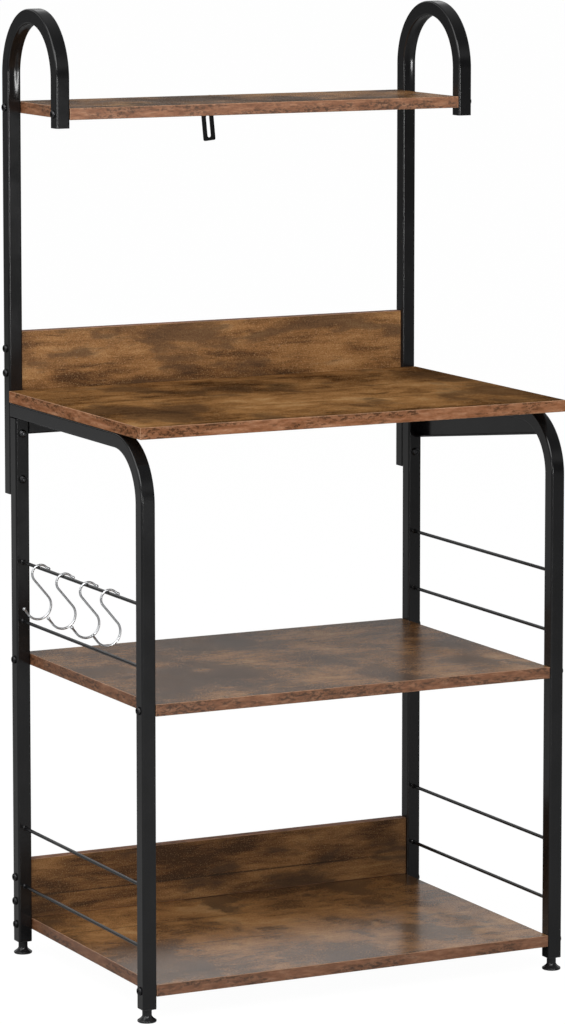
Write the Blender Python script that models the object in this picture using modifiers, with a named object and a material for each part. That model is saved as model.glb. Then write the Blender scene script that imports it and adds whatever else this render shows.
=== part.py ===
"""Four-tier kitchen rack: square-tube side frames, brown boards, levelling feet, S-hooks and a wall strap.

Sizes are in metres and +Z is up. Seen from the front, +X is to the right and the rack faces -Y.
Every piece is placed in the rack's own frame: x = 0 is the middle between the two side frames,
y = 0 is the rear face of the rear posts and z = 0 is the floor. One empty, rack_frame, carries
them all and puts the origin under the middle of the whole rack.
"""
import math
from dataclasses import dataclass

import bmesh
import bpy
from mathutils import Matrix, Vector

# Heights of the boards' top faces
WORKTOP_HEIGHT = 0.745
MIDDLE_SHELF_HEIGHT = 0.400
BOTTOM_SHELF_HEIGHT = 0.047
TOP_SHELF_HEIGHT = 1.1205

# Boards
WORKTOP_WIDTH = 0.600
WORKTOP_DEPTH = 0.405
BOARD_THICKNESS = 0.015
BOARD_ARRIS = 0.0006
WORKTOP_OVERHANG = 0.001
SHELF_SETBACK = 0.001
UPPER_PANEL_RISE = 0.0765
UPPER_PANEL_DROP = 0.0035
LOWER_PANEL_RISE = 0.0785

# Square tube of the frames
TUBE_SIZE = 0.019
TUBE_WALL = 0.0012
TUBE_CORNER = 0.0024
BEND_OUTER_RADIUS = 0.082
ARCH_REACH = 0.174
ARCH_ABOVE_SHELF = 0.1225
ARCH_LEG_BELOW_SHELF = 0.0255
UPRIGHT_BELOW_WORKTOP = 0.136
POST_BOTTOM = 0.018
CROSS_RAIL_HEIGHT = 0.040

# Thin rods of the side frames
ROD_DIAMETER = 0.0045
FIRST_ROD_ABOVE_SHELF = 0.044
ROD_SPACING = 0.078
ROD_WELD_DEPTH = 0.003

# Gusset plate of the right side frame
GUSSET_THICKNESS = 0.002
GUSSET_FLANGE = 0.009
GUSSET_REAR_DROP = 0.0595
GUSSET_FRONT_DROP = 0.014

# Bolts
BOLT_SHANK = 0.006
BOLT_HEAD = 0.0105
BOLT_HEAD_HEIGHT = 0.003
BOLT_SOCKET = 0.004
BOLT_SOCKET_DEPTH = 0.0018
BOLT_GRIP = 0.010
PANEL_BOLT_SPACING = 0.032
UPRIGHT_BOLT_ABOVE_END = 0.022
UPRIGHT_BOLT_SPACING = 0.060
WORKTOP_BOLT_FROM_REAR = 0.070
WORKTOP_BOLT_SPACING = 0.200
WORKTOP_BOLT_ACCESS = 0.0115

# Threaded inserts in the lower ends of the posts
INSERT_FLANGE = 0.0012
INSERT_BODY = 0.016

# Levelling feet
FOOT_DIAMETER = 0.024
FOOT_NECK = 0.012
FOOT_RIM = 0.0025
FOOT_RIM_CHAMFER = 0.0008
FOOT_SHOULDER = 0.0085
FOOT_SOLE = 0.006
STUD_DIAMETER = 0.008
STUD_LENGTH = 0.027

# S-hooks on the left frame's upper rod
HOOK_WIRE = 0.003
HOOK_BALL = 0.0048
HOOK_UPPER_RADIUS = 0.0115
HOOK_LOWER_RADIUS = 0.0176
HOOK_LOOP_OFFSET = 0.0083
HOOK_LOOP_DROP = 0.0411
HOOK_UPPER_TIP_ANGLE = math.radians(45)
HOOK_LOWER_TIP_ANGLE = math.radians(-150)
HOOK_UPPER_TAIL = 0.006
HOOK_LOWER_TAIL = 0.010
HOOK_FIRST = 0.072
HOOK_SPACINGS = (0.077, 0.0735, 0.064)

# Wall strap behind the top shelf
STRAP_WIDTH = 0.017
STRAP_THICKNESS = 0.002
STRAP_BELOW_SCREW = 0.053
STRAP_ABOVE_SCREW = 0.007
STRAP_CORNER = 0.002
STRAP_SLOT_WIDTH = 0.0055
STRAP_SLOT_LENGTH = 0.030
STRAP_SLOT_MARGIN = 0.004
STRAP_TILT = math.radians(5.5)
STRAP_SCREW_X = -0.005
STRAP_SCREW = 0.004
STRAP_SCREW_HEAD = 0.008
STRAP_SCREW_HEAD_HEIGHT = 0.0025
STRAP_SCREW_LENGTH = 0.016

# Clearances
GAP = 0.0003
OVERRUN = 0.002
MERGE = 0.00001

# Numbers of sides and steps
ROUND_SIDES = 10
FOOT_SIDES = 20
TUBE_CORNER_STEPS = 2
BEND_STEPS = 9
ARCH_STEPS = 20
HOOK_STEPS = 12
STRAP_CORNER_STEPS = 3
HEXAGON_SIDES = 6
BALL_RINGS = 6
SMOOTH_ANGLE = math.radians(40)

# Places that follow from the sizes above
FRAME_HALF = WORKTOP_WIDTH / 2 - WORKTOP_OVERHANG
TUBE_X = FRAME_HALF - TUBE_SIZE / 2
INNER_HALF = FRAME_HALF - TUBE_SIZE
BOARD_HALF = INNER_HALF - GAP
TUBE_HALF = TUBE_SIZE / 2
TUBE_BORE = TUBE_SIZE - 2 * TUBE_WALL
FRONT_POST_Y = TUBE_HALF - WORKTOP_DEPTH
REAR_POST_Y = -TUBE_HALF
RAIL_TOP = WORKTOP_HEIGHT - BOARD_THICKNESS - GAP
RAIL_Z = RAIL_TOP - TUBE_HALF
RAIL_BOTTOM = RAIL_TOP - TUBE_SIZE
UPRIGHT_Y = GAP + TUBE_HALF
UPRIGHT_REAR = GAP + TUBE_SIZE
UPRIGHT_BOTTOM = WORKTOP_HEIGHT - UPRIGHT_BELOW_WORKTOP
ARCH_TOP = TOP_SHELF_HEIGHT + ARCH_ABOVE_SHELF
ARCH_LEG_BOTTOM = TOP_SHELF_HEIGHT - ARCH_LEG_BELOW_SHELF
ARCH_RADIUS = (ARCH_REACH - TUBE_SIZE) / 2
ARCH_LEG_Y = UPRIGHT_Y - 2 * ARCH_RADIUS
ARCH_CENTRE_Z = ARCH_TOP - TUBE_HALF - ARCH_RADIUS
TOP_SHELF_FRONT = UPRIGHT_REAR - ARCH_REACH
TOP_SHELF_Z = TOP_SHELF_HEIGHT - BOARD_THICKNESS / 2
SHELF_FRONT = SHELF_SETBACK - WORKTOP_DEPTH
UPPER_PANEL_TOP = WORKTOP_HEIGHT + UPPER_PANEL_RISE
LOWER_PANEL_TOP = BOTTOM_SHELF_HEIGHT + LOWER_PANEL_RISE
ROD_RADIUS = ROD_DIAMETER / 2
HOOK_ROD_Z = MIDDLE_SHELF_HEIGHT + FIRST_ROD_ABOVE_SHELF + ROD_SPACING
BOLT_HOLE = BOLT_SHANK + 2 * GAP
BOLT_BORE_DEPTH = BOLT_GRIP + GAP
FOOT_TOP = POST_BOTTOM - INSERT_FLANGE - 2 * GAP
STUD_BOTTOM = FOOT_SOLE + GAP

# Directions
RIGHT = Vector((1, 0, 0))
FORWARD = Vector((0, -1, 0))
BACKWARD = Vector((0, 1, 0))
DOWN = Vector((0, 0, -1))

# Turns a flat shape drawn in local x and y into the rack: in side view x is y and y is z,
# in front view x stays x and y is z
SIDE_VIEW = Matrix(((0, 0, 1, 0), (1, 0, 0, 0), (0, 1, 0, 0), (0, 0, 0, 1)))
FRONT_VIEW = Matrix(((1, 0, 0, 0), (0, 0, -1, 0), (0, 1, 0, 0), (0, 0, 0, 1)))


def clear_scene():
    """Removes every object that the scene starts with."""
    for obj in list(bpy.data.objects):
        bpy.data.objects.remove(obj, do_unlink=True)


def new_collection(name):
    """Makes a collection and links it to the scene."""
    collection = bpy.data.collections.new(name)
    bpy.context.scene.collection.children.link(collection)
    return collection


def new_material(name, colour, roughness, metallic=0.0):
    """Makes a Principled material of one colour."""
    material = bpy.data.materials.new(name)
    material.use_nodes = True
    shader = material.node_tree.nodes["Principled BSDF"]
    shader.inputs["Base Color"].default_value = (*colour, 1.0)
    shader.inputs["Roughness"].default_value = roughness
    shader.inputs["Metallic"].default_value = metallic
    return material


def mesh_of(obj):
    """Gives the evaluated mesh of a scratch object, welded and facing out, and removes the object."""
    bpy.context.scene.collection.objects.link(obj)
    bpy.context.view_layer.update()
    graph = bpy.context.evaluated_depsgraph_get()
    mesh = bpy.data.meshes.new_from_object(obj.evaluated_get(graph))
    bpy.data.objects.remove(obj, do_unlink=True)
    shape = bmesh.new()
    shape.from_mesh(mesh)
    bmesh.ops.remove_doubles(shape, verts=shape.verts, dist=MERGE)
    bmesh.ops.recalc_face_normals(shape, faces=shape.faces)
    shape.to_mesh(mesh)
    shape.free()
    return mesh


def arc(centre, radius, start, end, steps):
    """Gives points along an arc, both ends included."""
    points = []
    for step in range(steps + 1):
        angle = start + (end - start) * step / steps
        points.append((centre[0] + radius * math.cos(angle), centre[1] + radius * math.sin(angle)))
    return points


def rounded_rectangle(width, height, radius, steps, centre=(0, 0)):
    """Gives the outline of a rectangle with round corners, anticlockwise."""
    points = []
    for turn, (sign_x, sign_y) in enumerate(((1, 1), (-1, 1), (-1, -1), (1, -1))):
        corner = (
            centre[0] + sign_x * (width / 2 - radius),
            centre[1] + sign_y * (height / 2 - radius),
        )
        start = turn * math.pi / 2
        points += arc(corner, radius, start, start + math.pi / 2, steps)
    return points


def flat_curve(name, outlines, cyclic=True):
    """Makes a 2D curve of straight segments through each outline's points."""
    curve = bpy.data.curves.new(name, "CURVE")
    curve.dimensions = "2D"
    for outline in outlines:
        spline = curve.splines.new("POLY")
        spline.points.add(len(outline) - 1)
        for point, (x, y) in zip(spline.points, outline):
            point.co = (x, y, 0, 1)
        spline.use_cyclic_u = cyclic
    return curve


def plate_mesh(outlines, thickness):
    """Extrudes an outline and its holes, centred on the local plane z = 0."""
    curve = flat_curve("plate", outlines)
    curve.fill_mode = "BOTH"
    curve.extrude = thickness / 2
    return mesh_of(bpy.data.objects.new("plate", curve))


def bar_mesh(path, width, depth, corner, steps):
    """Sweeps a rounded rectangle along a flat path: width in the path's plane, depth across it."""
    section = flat_curve("section", [rounded_rectangle(width, depth, corner, steps)])
    section_object = bpy.data.objects.new("section", section)
    curve = flat_curve("bar", [path], cyclic=False)
    curve.bevel_mode = "OBJECT"
    curve.bevel_object = section_object
    curve.use_fill_caps = True
    mesh = mesh_of(bpy.data.objects.new("bar", curve))
    bpy.data.objects.remove(section_object, do_unlink=True)
    return mesh


def turned_mesh(profile, sides):
    """Turns a profile of (radius, height) points, listed down its outer side, about local z."""
    mesh = bpy.data.meshes.new("profile")
    edges = [(index, index + 1) for index in range(len(profile) - 1)]
    mesh.from_pydata([(radius, 0, height) for radius, height in profile], edges, [])
    obj = bpy.data.objects.new("profile", mesh)
    screw = obj.modifiers.new("turn", "SCREW")
    screw.steps = sides
    screw.render_steps = sides
    screw.use_merge_vertices = True
    screw.merge_threshold = MERGE
    return mesh_of(obj)


def drum(radius, bottom, top):
    """Gives the profile of a plain cylinder."""
    return [(0, top), (radius, top), (radius, bottom), (0, bottom)]


def extended(path, length):
    """Gives the path with both of its ends lengthened along their own directions."""
    start = Vector(path[0]) + (Vector(path[0]) - Vector(path[1])).normalized() * length
    end = Vector(path[-1]) + (Vector(path[-1]) - Vector(path[-2])).normalized() * length
    return [tuple(start), *path[1:-1], tuple(end)]


def facing(position, direction):
    """Gives the placement that stands local z along a direction."""
    turn = direction.to_track_quat("Z", "Y").to_matrix().to_4x4()
    return Matrix.Translation(Vector(position)) @ turn


def copies_mesh(name, mesh, placements):
    """Joins one copy of a mesh for each placement into one mesh of separate solids."""
    shape = bmesh.new()
    for placement in placements:
        first = len(shape.verts)
        shape.from_mesh(mesh)
        shape.verts.ensure_lookup_table()
        bmesh.ops.transform(shape, matrix=placement, verts=shape.verts[first:])
    joined = bpy.data.meshes.new(name)
    shape.to_mesh(joined)
    shape.free()
    return joined


class Rack:
    """Holds the collections, the materials and the empty that carries every piece."""

    def __init__(self):
        self.pieces = new_collection("kitchen_shelf")
        self.cutters = new_collection("cutters")
        self.frame = bpy.data.objects.new("rack_frame", None)
        self.pieces.objects.link(self.frame)
        self.coat = new_material("black_powder_coat", (0.02, 0.02, 0.022), 0.45)
        self.board = new_material("rustic_brown_board", (0.42, 0.22, 0.11), 0.40)
        self.plastic = new_material("black_plastic", (0.015, 0.015, 0.015), 0.30)
        self.bolt = new_material("black_bolt_steel", (0.03, 0.03, 0.03), 0.35, 0.8)
        self.zinc = new_material("zinc_steel", (0.55, 0.55, 0.54), 0.35, 1.0)
        self.chrome = new_material("chrome_wire", (0.80, 0.80, 0.82), 0.08, 1.0)

    def add(self, name, mesh, material, placement=Matrix.Identity(4), smooth=False):
        """Adds a named piece to the rack at its placement."""
        obj = bpy.data.objects.new(name, mesh)
        mesh.materials.clear()
        mesh.materials.append(material)
        self.pieces.objects.link(obj)
        obj.parent = self.frame
        obj.matrix_local = placement
        if smooth:
            mesh.shade_smooth()
            mesh.set_sharp_from_angle(angle=SMOOTH_ANGLE)
        return obj

    def cut(self, obj, name, mesh, placement=Matrix.Identity(4), operation="DIFFERENCE"):
        """Cuts a piece with a mesh, or joins the mesh to it, through a Boolean modifier."""
        cutter = bpy.data.objects.new(name, mesh)
        self.cutters.objects.link(cutter)
        cutter.parent = self.frame
        cutter.matrix_local = placement
        cutter.hide_render = True
        cutter.display_type = "WIRE"
        boolean = obj.modifiers.new(name, "BOOLEAN")
        boolean.operation = operation
        boolean.object = cutter
        return cutter

    def holes(self, obj, name, places, diameter, depth, direction):
        """Bores round holes of one size and depth, each from a place and against a direction."""
        profile = drum(diameter / 2, -depth, OVERRUN)
        tool = turned_mesh(profile, ROUND_SIDES)
        mesh = copies_mesh(name, tool, [facing(place, direction) for place in places])
        return self.cut(obj, name, mesh)


@dataclass(frozen=True)
class SideBolt:
    """One bolt through a side frame's tube into the end of a board, by its place seen from a side."""

    name: str
    board: str
    tube: str
    y: float
    z: float


def side_bolts():
    """Gives the bolts of one side frame; the other side has the same."""
    middle_z = MIDDLE_SHELF_HEIGHT - BOARD_THICKNESS / 2
    bottom_z = BOTTOM_SHELF_HEIGHT - BOARD_THICKNESS / 2
    upper_y = UPRIGHT_REAR - BOARD_THICKNESS / 2
    lower_y = -BOARD_THICKNESS / 2
    upper_z = (WORKTOP_HEIGHT + UPPER_PANEL_TOP) / 2
    lower_z = (BOTTOM_SHELF_HEIGHT + LOWER_PANEL_TOP) / 2
    half = PANEL_BOLT_SPACING / 2
    return [
        SideBolt("top_shelf_rear", "top_shelf", "upright", UPRIGHT_Y, TOP_SHELF_Z),
        SideBolt("top_shelf_front", "top_shelf", "upright", ARCH_LEG_Y, TOP_SHELF_Z),
        SideBolt("upper_panel_low", "upper_back_panel", "upright", upper_y, upper_z - half),
        SideBolt("upper_panel_high", "upper_back_panel", "upright", upper_y, upper_z + half),
        SideBolt("middle_shelf_rear", "middle_shelf", "rear_post", REAR_POST_Y, middle_z),
        SideBolt("middle_shelf_front", "middle_shelf", "front_tube", FRONT_POST_Y, middle_z),
        SideBolt("bottom_shelf_rear", "bottom_shelf", "rear_post", REAR_POST_Y, bottom_z),
        SideBolt("bottom_shelf_front", "bottom_shelf", "front_tube", FRONT_POST_Y, bottom_z),
        SideBolt("lower_panel_low", "lower_back_panel", "rear_post", lower_y, lower_z - half),
        SideBolt("lower_panel_high", "lower_back_panel", "rear_post", lower_y, lower_z + half),
    ]


def upright_bolts():
    """Gives the name and the height of the two bolts between an upright and its rear post."""
    first = UPRIGHT_BOTTOM + UPRIGHT_BOLT_ABOVE_END
    return [("upright_low", first), ("upright_high", first + UPRIGHT_BOLT_SPACING)]


def worktop_bolts():
    """Gives the name and the y of the two bolts that go up through each rail's top wall."""
    first = -WORKTOP_BOLT_FROM_REAR
    return [("worktop_rear", first), ("worktop_front", first - WORKTOP_BOLT_SPACING)]


def front_tube_path():
    """Gives the middle line of a front post that bends back into the rail under the worktop."""
    radius = BEND_OUTER_RADIUS - TUBE_HALF
    centre = (FRONT_POST_Y + radius, RAIL_Z - radius)
    bend = arc(centre, radius, math.pi, math.pi / 2, BEND_STEPS)
    return [(FRONT_POST_Y, POST_BOTTOM), *bend, (0, RAIL_Z)]


def arch_path():
    """Gives the middle line of an upright that arches forward into its short front leg."""
    centre = (UPRIGHT_Y - ARCH_RADIUS, ARCH_CENTRE_Z)
    bend = arc(centre, ARCH_RADIUS, 0, math.pi, ARCH_STEPS)
    return [(UPRIGHT_Y, UPRIGHT_BOTTOM), *bend, (ARCH_LEG_Y, ARCH_LEG_BOTTOM)]


def hollow_tube(rack, name, path, placement, width=TUBE_SIZE, depth=TUBE_SIZE):
    """Makes a tube with an open bore along a flat path."""
    outer = bar_mesh(path, width, depth, TUBE_CORNER, TUBE_CORNER_STEPS)
    obj = rack.add(name, outer, rack.coat, placement, smooth=True)
    bore_path = extended(path, OVERRUN)
    bore_corner = TUBE_CORNER - TUBE_WALL
    bore = bar_mesh(bore_path, width - 2 * TUBE_WALL, depth - 2 * TUBE_WALL, bore_corner, 1)
    rack.cut(obj, name + "_bore", bore, placement)
    return obj


def build_side_frame(rack, side, side_name):
    """Builds one side frame: bent front tube, rear post with the rods, and arched upright."""
    x = side * TUBE_X
    placement = Matrix.Translation((x, 0, 0)) @ SIDE_VIEW
    through = TUBE_SIZE + OVERRUN
    front = hollow_tube(rack, side_name + "_front_tube", front_tube_path(), placement)
    post_path = [(REAR_POST_Y, POST_BOTTOM), (REAR_POST_Y, RAIL_BOTTOM - GAP)]
    post = hollow_tube(rack, side_name + "_rear_post", post_path, placement)
    weld_rods(rack, post, x, side_name)
    upright = hollow_tube(rack, side_name + "_arched_upright", arch_path(), placement)
    for tube_name, tube in (("front_tube", front), ("rear_post", post), ("upright", upright)):
        bolts = [bolt for bolt in side_bolts() if bolt.tube == tube_name]
        places = [(side * FRAME_HALF, bolt.y, bolt.z) for bolt in bolts]
        name = f"{side_name}_{tube_name}_side_holes"
        rack.holes(tube, name, places, BOLT_HOLE, through, RIGHT * side)
    places = [(x, y, RAIL_BOTTOM) for _, y in worktop_bolts()]
    rack.holes(front, side_name + "_rail_holes", places, BOLT_HOLE, through, DOWN)
    rack.holes(front, side_name + "_access_holes", places, WORKTOP_BOLT_ACCESS, TUBE_HALF, DOWN)
    places = [(x, -TUBE_SIZE, z) for _, z in upright_bolts()]
    rack.holes(post, side_name + "_post_joint_holes", places, BOLT_HOLE, through, FORWARD)
    places = [(x, GAP, z) for _, z in upright_bolts()]
    rack.holes(upright, side_name + "_upright_holes", places, BOLT_HOLE, TUBE_HALF, FORWARD)


def weld_rods(rack, post, x, side_name):
    """Joins the four thin rods of a side frame to its rear post; they reach the front post."""
    rear = -TUBE_SIZE + ROD_WELD_DEPTH
    length = rear - (FRONT_POST_Y + TUBE_HALF + GAP)
    rod = turned_mesh(drum(ROD_RADIUS, -length, 0), ROUND_SIDES)
    places = []
    for shelf_height in (MIDDLE_SHELF_HEIGHT, BOTTOM_SHELF_HEIGHT):
        first = shelf_height + FIRST_ROD_ABOVE_SHELF
        for height in (first, first + ROD_SPACING):
            places.append(facing((x, rear, height), BACKWARD))
    name = side_name + "_rods"
    rack.cut(post, name, copies_mesh(name, rod, places), operation="UNION")


def build_cross_rail(rack):
    """Builds the rear rail under the worktop, between the two rear posts."""
    z = RAIL_TOP - CROSS_RAIL_HEIGHT / 2
    path = [(-BOARD_HALF, z), (BOARD_HALF, z)]
    placement = Matrix.Translation((0, REAR_POST_Y, 0)) @ FRONT_VIEW
    hollow_tube(rack, "rear_cross_rail", path, placement, width=CROSS_RAIL_HEIGHT)


def build_gusset(rack):
    """Builds the flanged plate that fills the upper corner of the right side frame."""
    top = RAIL_BOTTOM - GAP
    rear = -TUBE_SIZE - GAP
    rear_low = top - GUSSET_REAR_DROP
    front_low = top - GUSSET_FRONT_DROP
    bend_radius = BEND_OUTER_RADIUS - TUBE_SIZE - GAP
    centre_y = BEND_OUTER_RADIUS - WORKTOP_DEPTH
    centre_z = RAIL_TOP - BEND_OUTER_RADIUS
    start = math.pi - math.asin((front_low - centre_z) / bend_radius)
    bend = arc((centre_y, centre_z), bend_radius, start, math.pi / 2, BEND_STEPS)
    plate = plate_mesh([[(rear, rear_low), *bend, (rear, top)]], GUSSET_THICKNESS)
    placement = Matrix.Translation((FRAME_HALF - GUSSET_THICKNESS / 2, 0, 0)) @ SIDE_VIEW
    gusset = rack.add("right_gusset_plate", plate, rack.coat, placement)
    rise = front_low + GUSSET_THICKNESS
    follow = centre_y - math.sqrt(bend_radius ** 2 - (rise - centre_z) ** 2)
    edge = [(rear, rear_low), bend[0], (follow, rise), (rear, rear_low + GUSSET_THICKNESS)]
    placement = Matrix.Translation((FRAME_HALF - GUSSET_FLANGE / 2, 0, 0)) @ SIDE_VIEW
    flange = plate_mesh([edge], GUSSET_FLANGE)
    rack.cut(gusset, "right_gusset_flange", flange, placement, "UNION")


def board(rack, name, low, high):
    """Builds a board between two corners, with the bores for the bolts in its ends."""
    size = Vector(high) - Vector(low)
    shape = bmesh.new()
    bmesh.ops.create_cube(shape, size=1, matrix=Matrix.Diagonal((*size, 1)))
    mesh = bpy.data.meshes.new(name)
    shape.to_mesh(mesh)
    shape.free()
    obj = rack.add(name, mesh, rack.board, Matrix.Translation((Vector(high) + Vector(low)) / 2))
    arris = obj.modifiers.new("arris", "BEVEL")
    arris.width = BOARD_ARRIS
    arris.segments = 1
    bolts = [bolt for bolt in side_bolts() if bolt.board == name]
    for side, side_name in ((-1, "left"), (1, "right")):
        places = [(side * BOARD_HALF, bolt.y, bolt.z) for bolt in bolts]
        if places:
            bores = f"{name}_{side_name}_bores"
            rack.holes(obj, bores, places, BOLT_HOLE, BOLT_BORE_DEPTH, RIGHT * side)
    return obj


def build_boards(rack):
    """Builds the worktop, the three shelves and the two back panels."""
    reach = WORKTOP_WIDTH / 2
    underside = WORKTOP_HEIGHT - BOARD_THICKNESS
    low = (-reach, -WORKTOP_DEPTH, underside)
    worktop = board(rack, "worktop", low, (reach, 0, WORKTOP_HEIGHT))
    places = [(side * TUBE_X, y, underside) for side in (-1, 1) for _, y in worktop_bolts()]
    rack.holes(worktop, "worktop_bores", places, BOLT_HOLE, BOLT_BORE_DEPTH, DOWN)

    shelves = {
        "middle_shelf": (SHELF_FRONT, 0, MIDDLE_SHELF_HEIGHT),
        "bottom_shelf": (SHELF_FRONT, 0, BOTTOM_SHELF_HEIGHT),
        "top_shelf": (TOP_SHELF_FRONT, UPRIGHT_REAR, TOP_SHELF_HEIGHT),
    }
    made = {}
    for name, (front, rear, top) in shelves.items():
        low = (-BOARD_HALF, front, top - BOARD_THICKNESS)
        made[name] = board(rack, name, low, (BOARD_HALF, rear, top))
    place = (STRAP_SCREW_X, UPRIGHT_REAR, TOP_SHELF_Z)
    pilot = STRAP_SCREW + 2 * GAP
    shelf = made["top_shelf"]
    rack.holes(shelf, "strap_screw_bore", [place], pilot, STRAP_SCREW_LENGTH, BACKWARD)

    panels = {
        "upper_back_panel": (UPRIGHT_REAR, WORKTOP_HEIGHT - UPPER_PANEL_DROP, UPPER_PANEL_TOP),
        "lower_back_panel": (0, BOTTOM_SHELF_HEIGHT + GAP, LOWER_PANEL_TOP),
    }
    for name, (rear, bottom, top) in panels.items():
        low = (-BOARD_HALF, rear - BOARD_THICKNESS, bottom)
        board(rack, name, low, (BOARD_HALF, rear, top))


def bolt_mesh(length):
    """Makes a button-head bolt with a hexagon socket; its head stands on z = 0, its shank hangs."""
    head = BOLT_HEAD / 2
    shank = BOLT_SHANK / 2
    crown_share = 0.6
    side_share = 0.35
    profile = [
        (0, BOLT_HEAD_HEIGHT),
        (head * crown_share, BOLT_HEAD_HEIGHT),
        (head, BOLT_HEAD_HEIGHT * side_share),
        (head, 0),
        (shank, 0),
        (shank, -length),
        (0, -length),
    ]
    bolt = bpy.data.objects.new("bolt", turned_mesh(profile, ROUND_SIDES))
    across_corners = BOLT_SOCKET / math.cos(math.pi / HEXAGON_SIDES)
    low = BOLT_HEAD_HEIGHT - BOLT_SOCKET_DEPTH
    socket_profile = drum(across_corners / 2, low, BOLT_HEAD_HEIGHT + OVERRUN)
    socket = turned_mesh(socket_profile, HEXAGON_SIDES)
    return combined_mesh(bolt, [("DIFFERENCE", socket, Matrix.Identity(4))])


def combined_mesh(obj, tools):
    """Gives a scratch object's mesh after Booleans with (operation, mesh, placement) tools."""
    helpers = []
    for operation, mesh, placement in tools:
        helper = bpy.data.objects.new("tool", mesh)
        helper.matrix_world = placement
        bpy.context.scene.collection.objects.link(helper)
        boolean = obj.modifiers.new("tool", "BOOLEAN")
        boolean.operation = operation
        boolean.object = helper
        helpers.append(helper)
    made = mesh_of(obj)
    for helper in helpers:
        bpy.data.objects.remove(helper, do_unlink=True)
    return made


def build_bolts(rack):
    """Builds the bolts of the boards' ends, of the uprights and of the worktop."""
    long_bolt = bolt_mesh(TUBE_SIZE + GAP + BOLT_GRIP)
    short_bolt = bolt_mesh(TUBE_WALL + GAP + BOLT_GRIP)
    for side, side_name in ((-1, "left"), (1, "right")):
        x = side * TUBE_X
        seats = {}
        for row in side_bolts():
            face_x = side * (FRAME_HALF + GAP)
            seats[row.name] = facing((face_x, row.y, row.z), RIGHT * side)
        for name, z in upright_bolts():
            seats[name] = facing((x, -TUBE_SIZE - GAP, z), FORWARD)
        bolts = {name: (long_bolt, seat) for name, seat in seats.items()}
        for name, y in worktop_bolts():
            seat_z = RAIL_TOP - TUBE_WALL - GAP
            bolts[name] = (short_bolt, facing((x, y, seat_z), DOWN))
        for name, (bolt, seat) in bolts.items():
            rack.add(f"{side_name}_{name}_bolt", bolt.copy(), rack.bolt, seat, smooth=True)


def foot_places():
    """Gives the name and the (x, y) of each levelling foot."""
    return [
        (f"{depth_name}_{side_name}", side * TUBE_X, y)
        for side, side_name in ((-1, "left"), (1, "right"))
        for y, depth_name in ((FRONT_POST_Y, "front"), (REAR_POST_Y, "rear"))
    ]


def foot_insert_mesh():
    """Makes a threaded insert: its flange lies under z = 0, its body stands up in the post."""
    outline = rounded_rectangle(TUBE_SIZE, TUBE_SIZE, TUBE_CORNER, TUBE_CORNER_STEPS)
    flange = bpy.data.objects.new("flange", plate_mesh([outline], INSERT_FLANGE))
    side = TUBE_BORE - 2 * GAP
    body_height = INSERT_BODY + INSERT_FLANGE / 2
    body_outline = rounded_rectangle(side, side, TUBE_CORNER - TUBE_WALL, 1)
    body = plate_mesh([body_outline], body_height)
    thread_radius = STUD_DIAMETER / 2 + GAP
    thread = turned_mesh(drum(thread_radius, -body_height, body_height + OVERRUN), ROUND_SIDES)
    tools = [
        ("UNION", body, Matrix.Translation((0, 0, body_height / 2))),
        ("DIFFERENCE", thread, Matrix.Identity(4)),
    ]
    mesh = combined_mesh(flange, tools)
    mesh.transform(Matrix.Translation((0, 0, -GAP - INSERT_FLANGE / 2)))
    return mesh


def build_feet(rack):
    """Builds the levelling feet: threaded inserts, studs, and bases that turn with them."""
    base = FOOT_DIAMETER / 2
    neck = FOOT_NECK / 2
    bore = STUD_DIAMETER / 2 + GAP
    waist_share = 0.45
    waist_rise_share = 0.35
    waist_radius = neck + (base - neck) * waist_share
    waist_height = FOOT_RIM + (FOOT_SHOULDER - FOOT_RIM) * waist_rise_share
    profile = [
        (0, FOOT_SOLE),
        (bore, FOOT_SOLE),
        (bore, FOOT_TOP),
        (neck, FOOT_TOP),
        (neck, FOOT_SHOULDER),
        (waist_radius, waist_height),
        (base, FOOT_RIM),
        (base, FOOT_RIM_CHAMFER),
        (base - FOOT_RIM_CHAMFER, 0),
        (0, 0),
    ]
    foot = turned_mesh(profile, FOOT_SIDES)
    stud = turned_mesh(drum(STUD_DIAMETER / 2, 0, STUD_LENGTH), ROUND_SIDES)
    insert = foot_insert_mesh()
    for name, x, y in foot_places():
        ground = Matrix.Translation((x, y, 0))
        rack.add(name + "_foot_base", foot.copy(), rack.plastic, ground, smooth=True)
        seat = Matrix.Translation((x, y, STUD_BOTTOM))
        rack.add(name + "_foot_stud", stud.copy(), rack.zinc, seat, smooth=True)
        end = Matrix.Translation((x, y, POST_BOTTOM))
        rack.add(name + "_foot_insert", insert.copy(), rack.plastic, end)


def hook_path():
    """Gives the S of a hook's wire around the rod at (0, 0), turned so that it hangs at rest."""
    seat = ROD_RADIUS + GAP + HOOK_WIRE / 2
    upper = Vector((0, seat - HOOK_UPPER_RADIUS))
    lower = upper + Vector((-HOOK_LOOP_OFFSET, -HOOK_LOOP_DROP))
    span = lower - upper
    lean = math.acos((HOOK_UPPER_RADIUS + HOOK_LOWER_RADIUS) / span.length)
    leave = math.atan2(span.y, span.x) - lean + math.tau
    points = arc(upper, HOOK_UPPER_RADIUS, HOOK_UPPER_TIP_ANGLE, leave, HOOK_STEPS)
    points += arc(lower, HOOK_LOWER_RADIUS, leave - math.pi, HOOK_LOWER_TIP_ANGLE, HOOK_STEPS)
    upper_end = tail_end(points[0], HOOK_UPPER_TIP_ANGLE, HOOK_UPPER_TAIL)
    lower_end = tail_end(points[-1], HOOK_LOWER_TIP_ANGLE, HOOK_LOWER_TAIL)
    return turned_to_hang([upper_end, *points, lower_end])


def tail_end(point, angle, length):
    """Gives the end of the straight tail that leaves a loop's last point."""
    return (point[0] + math.sin(angle) * length, point[1] - math.cos(angle) * length)


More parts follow.
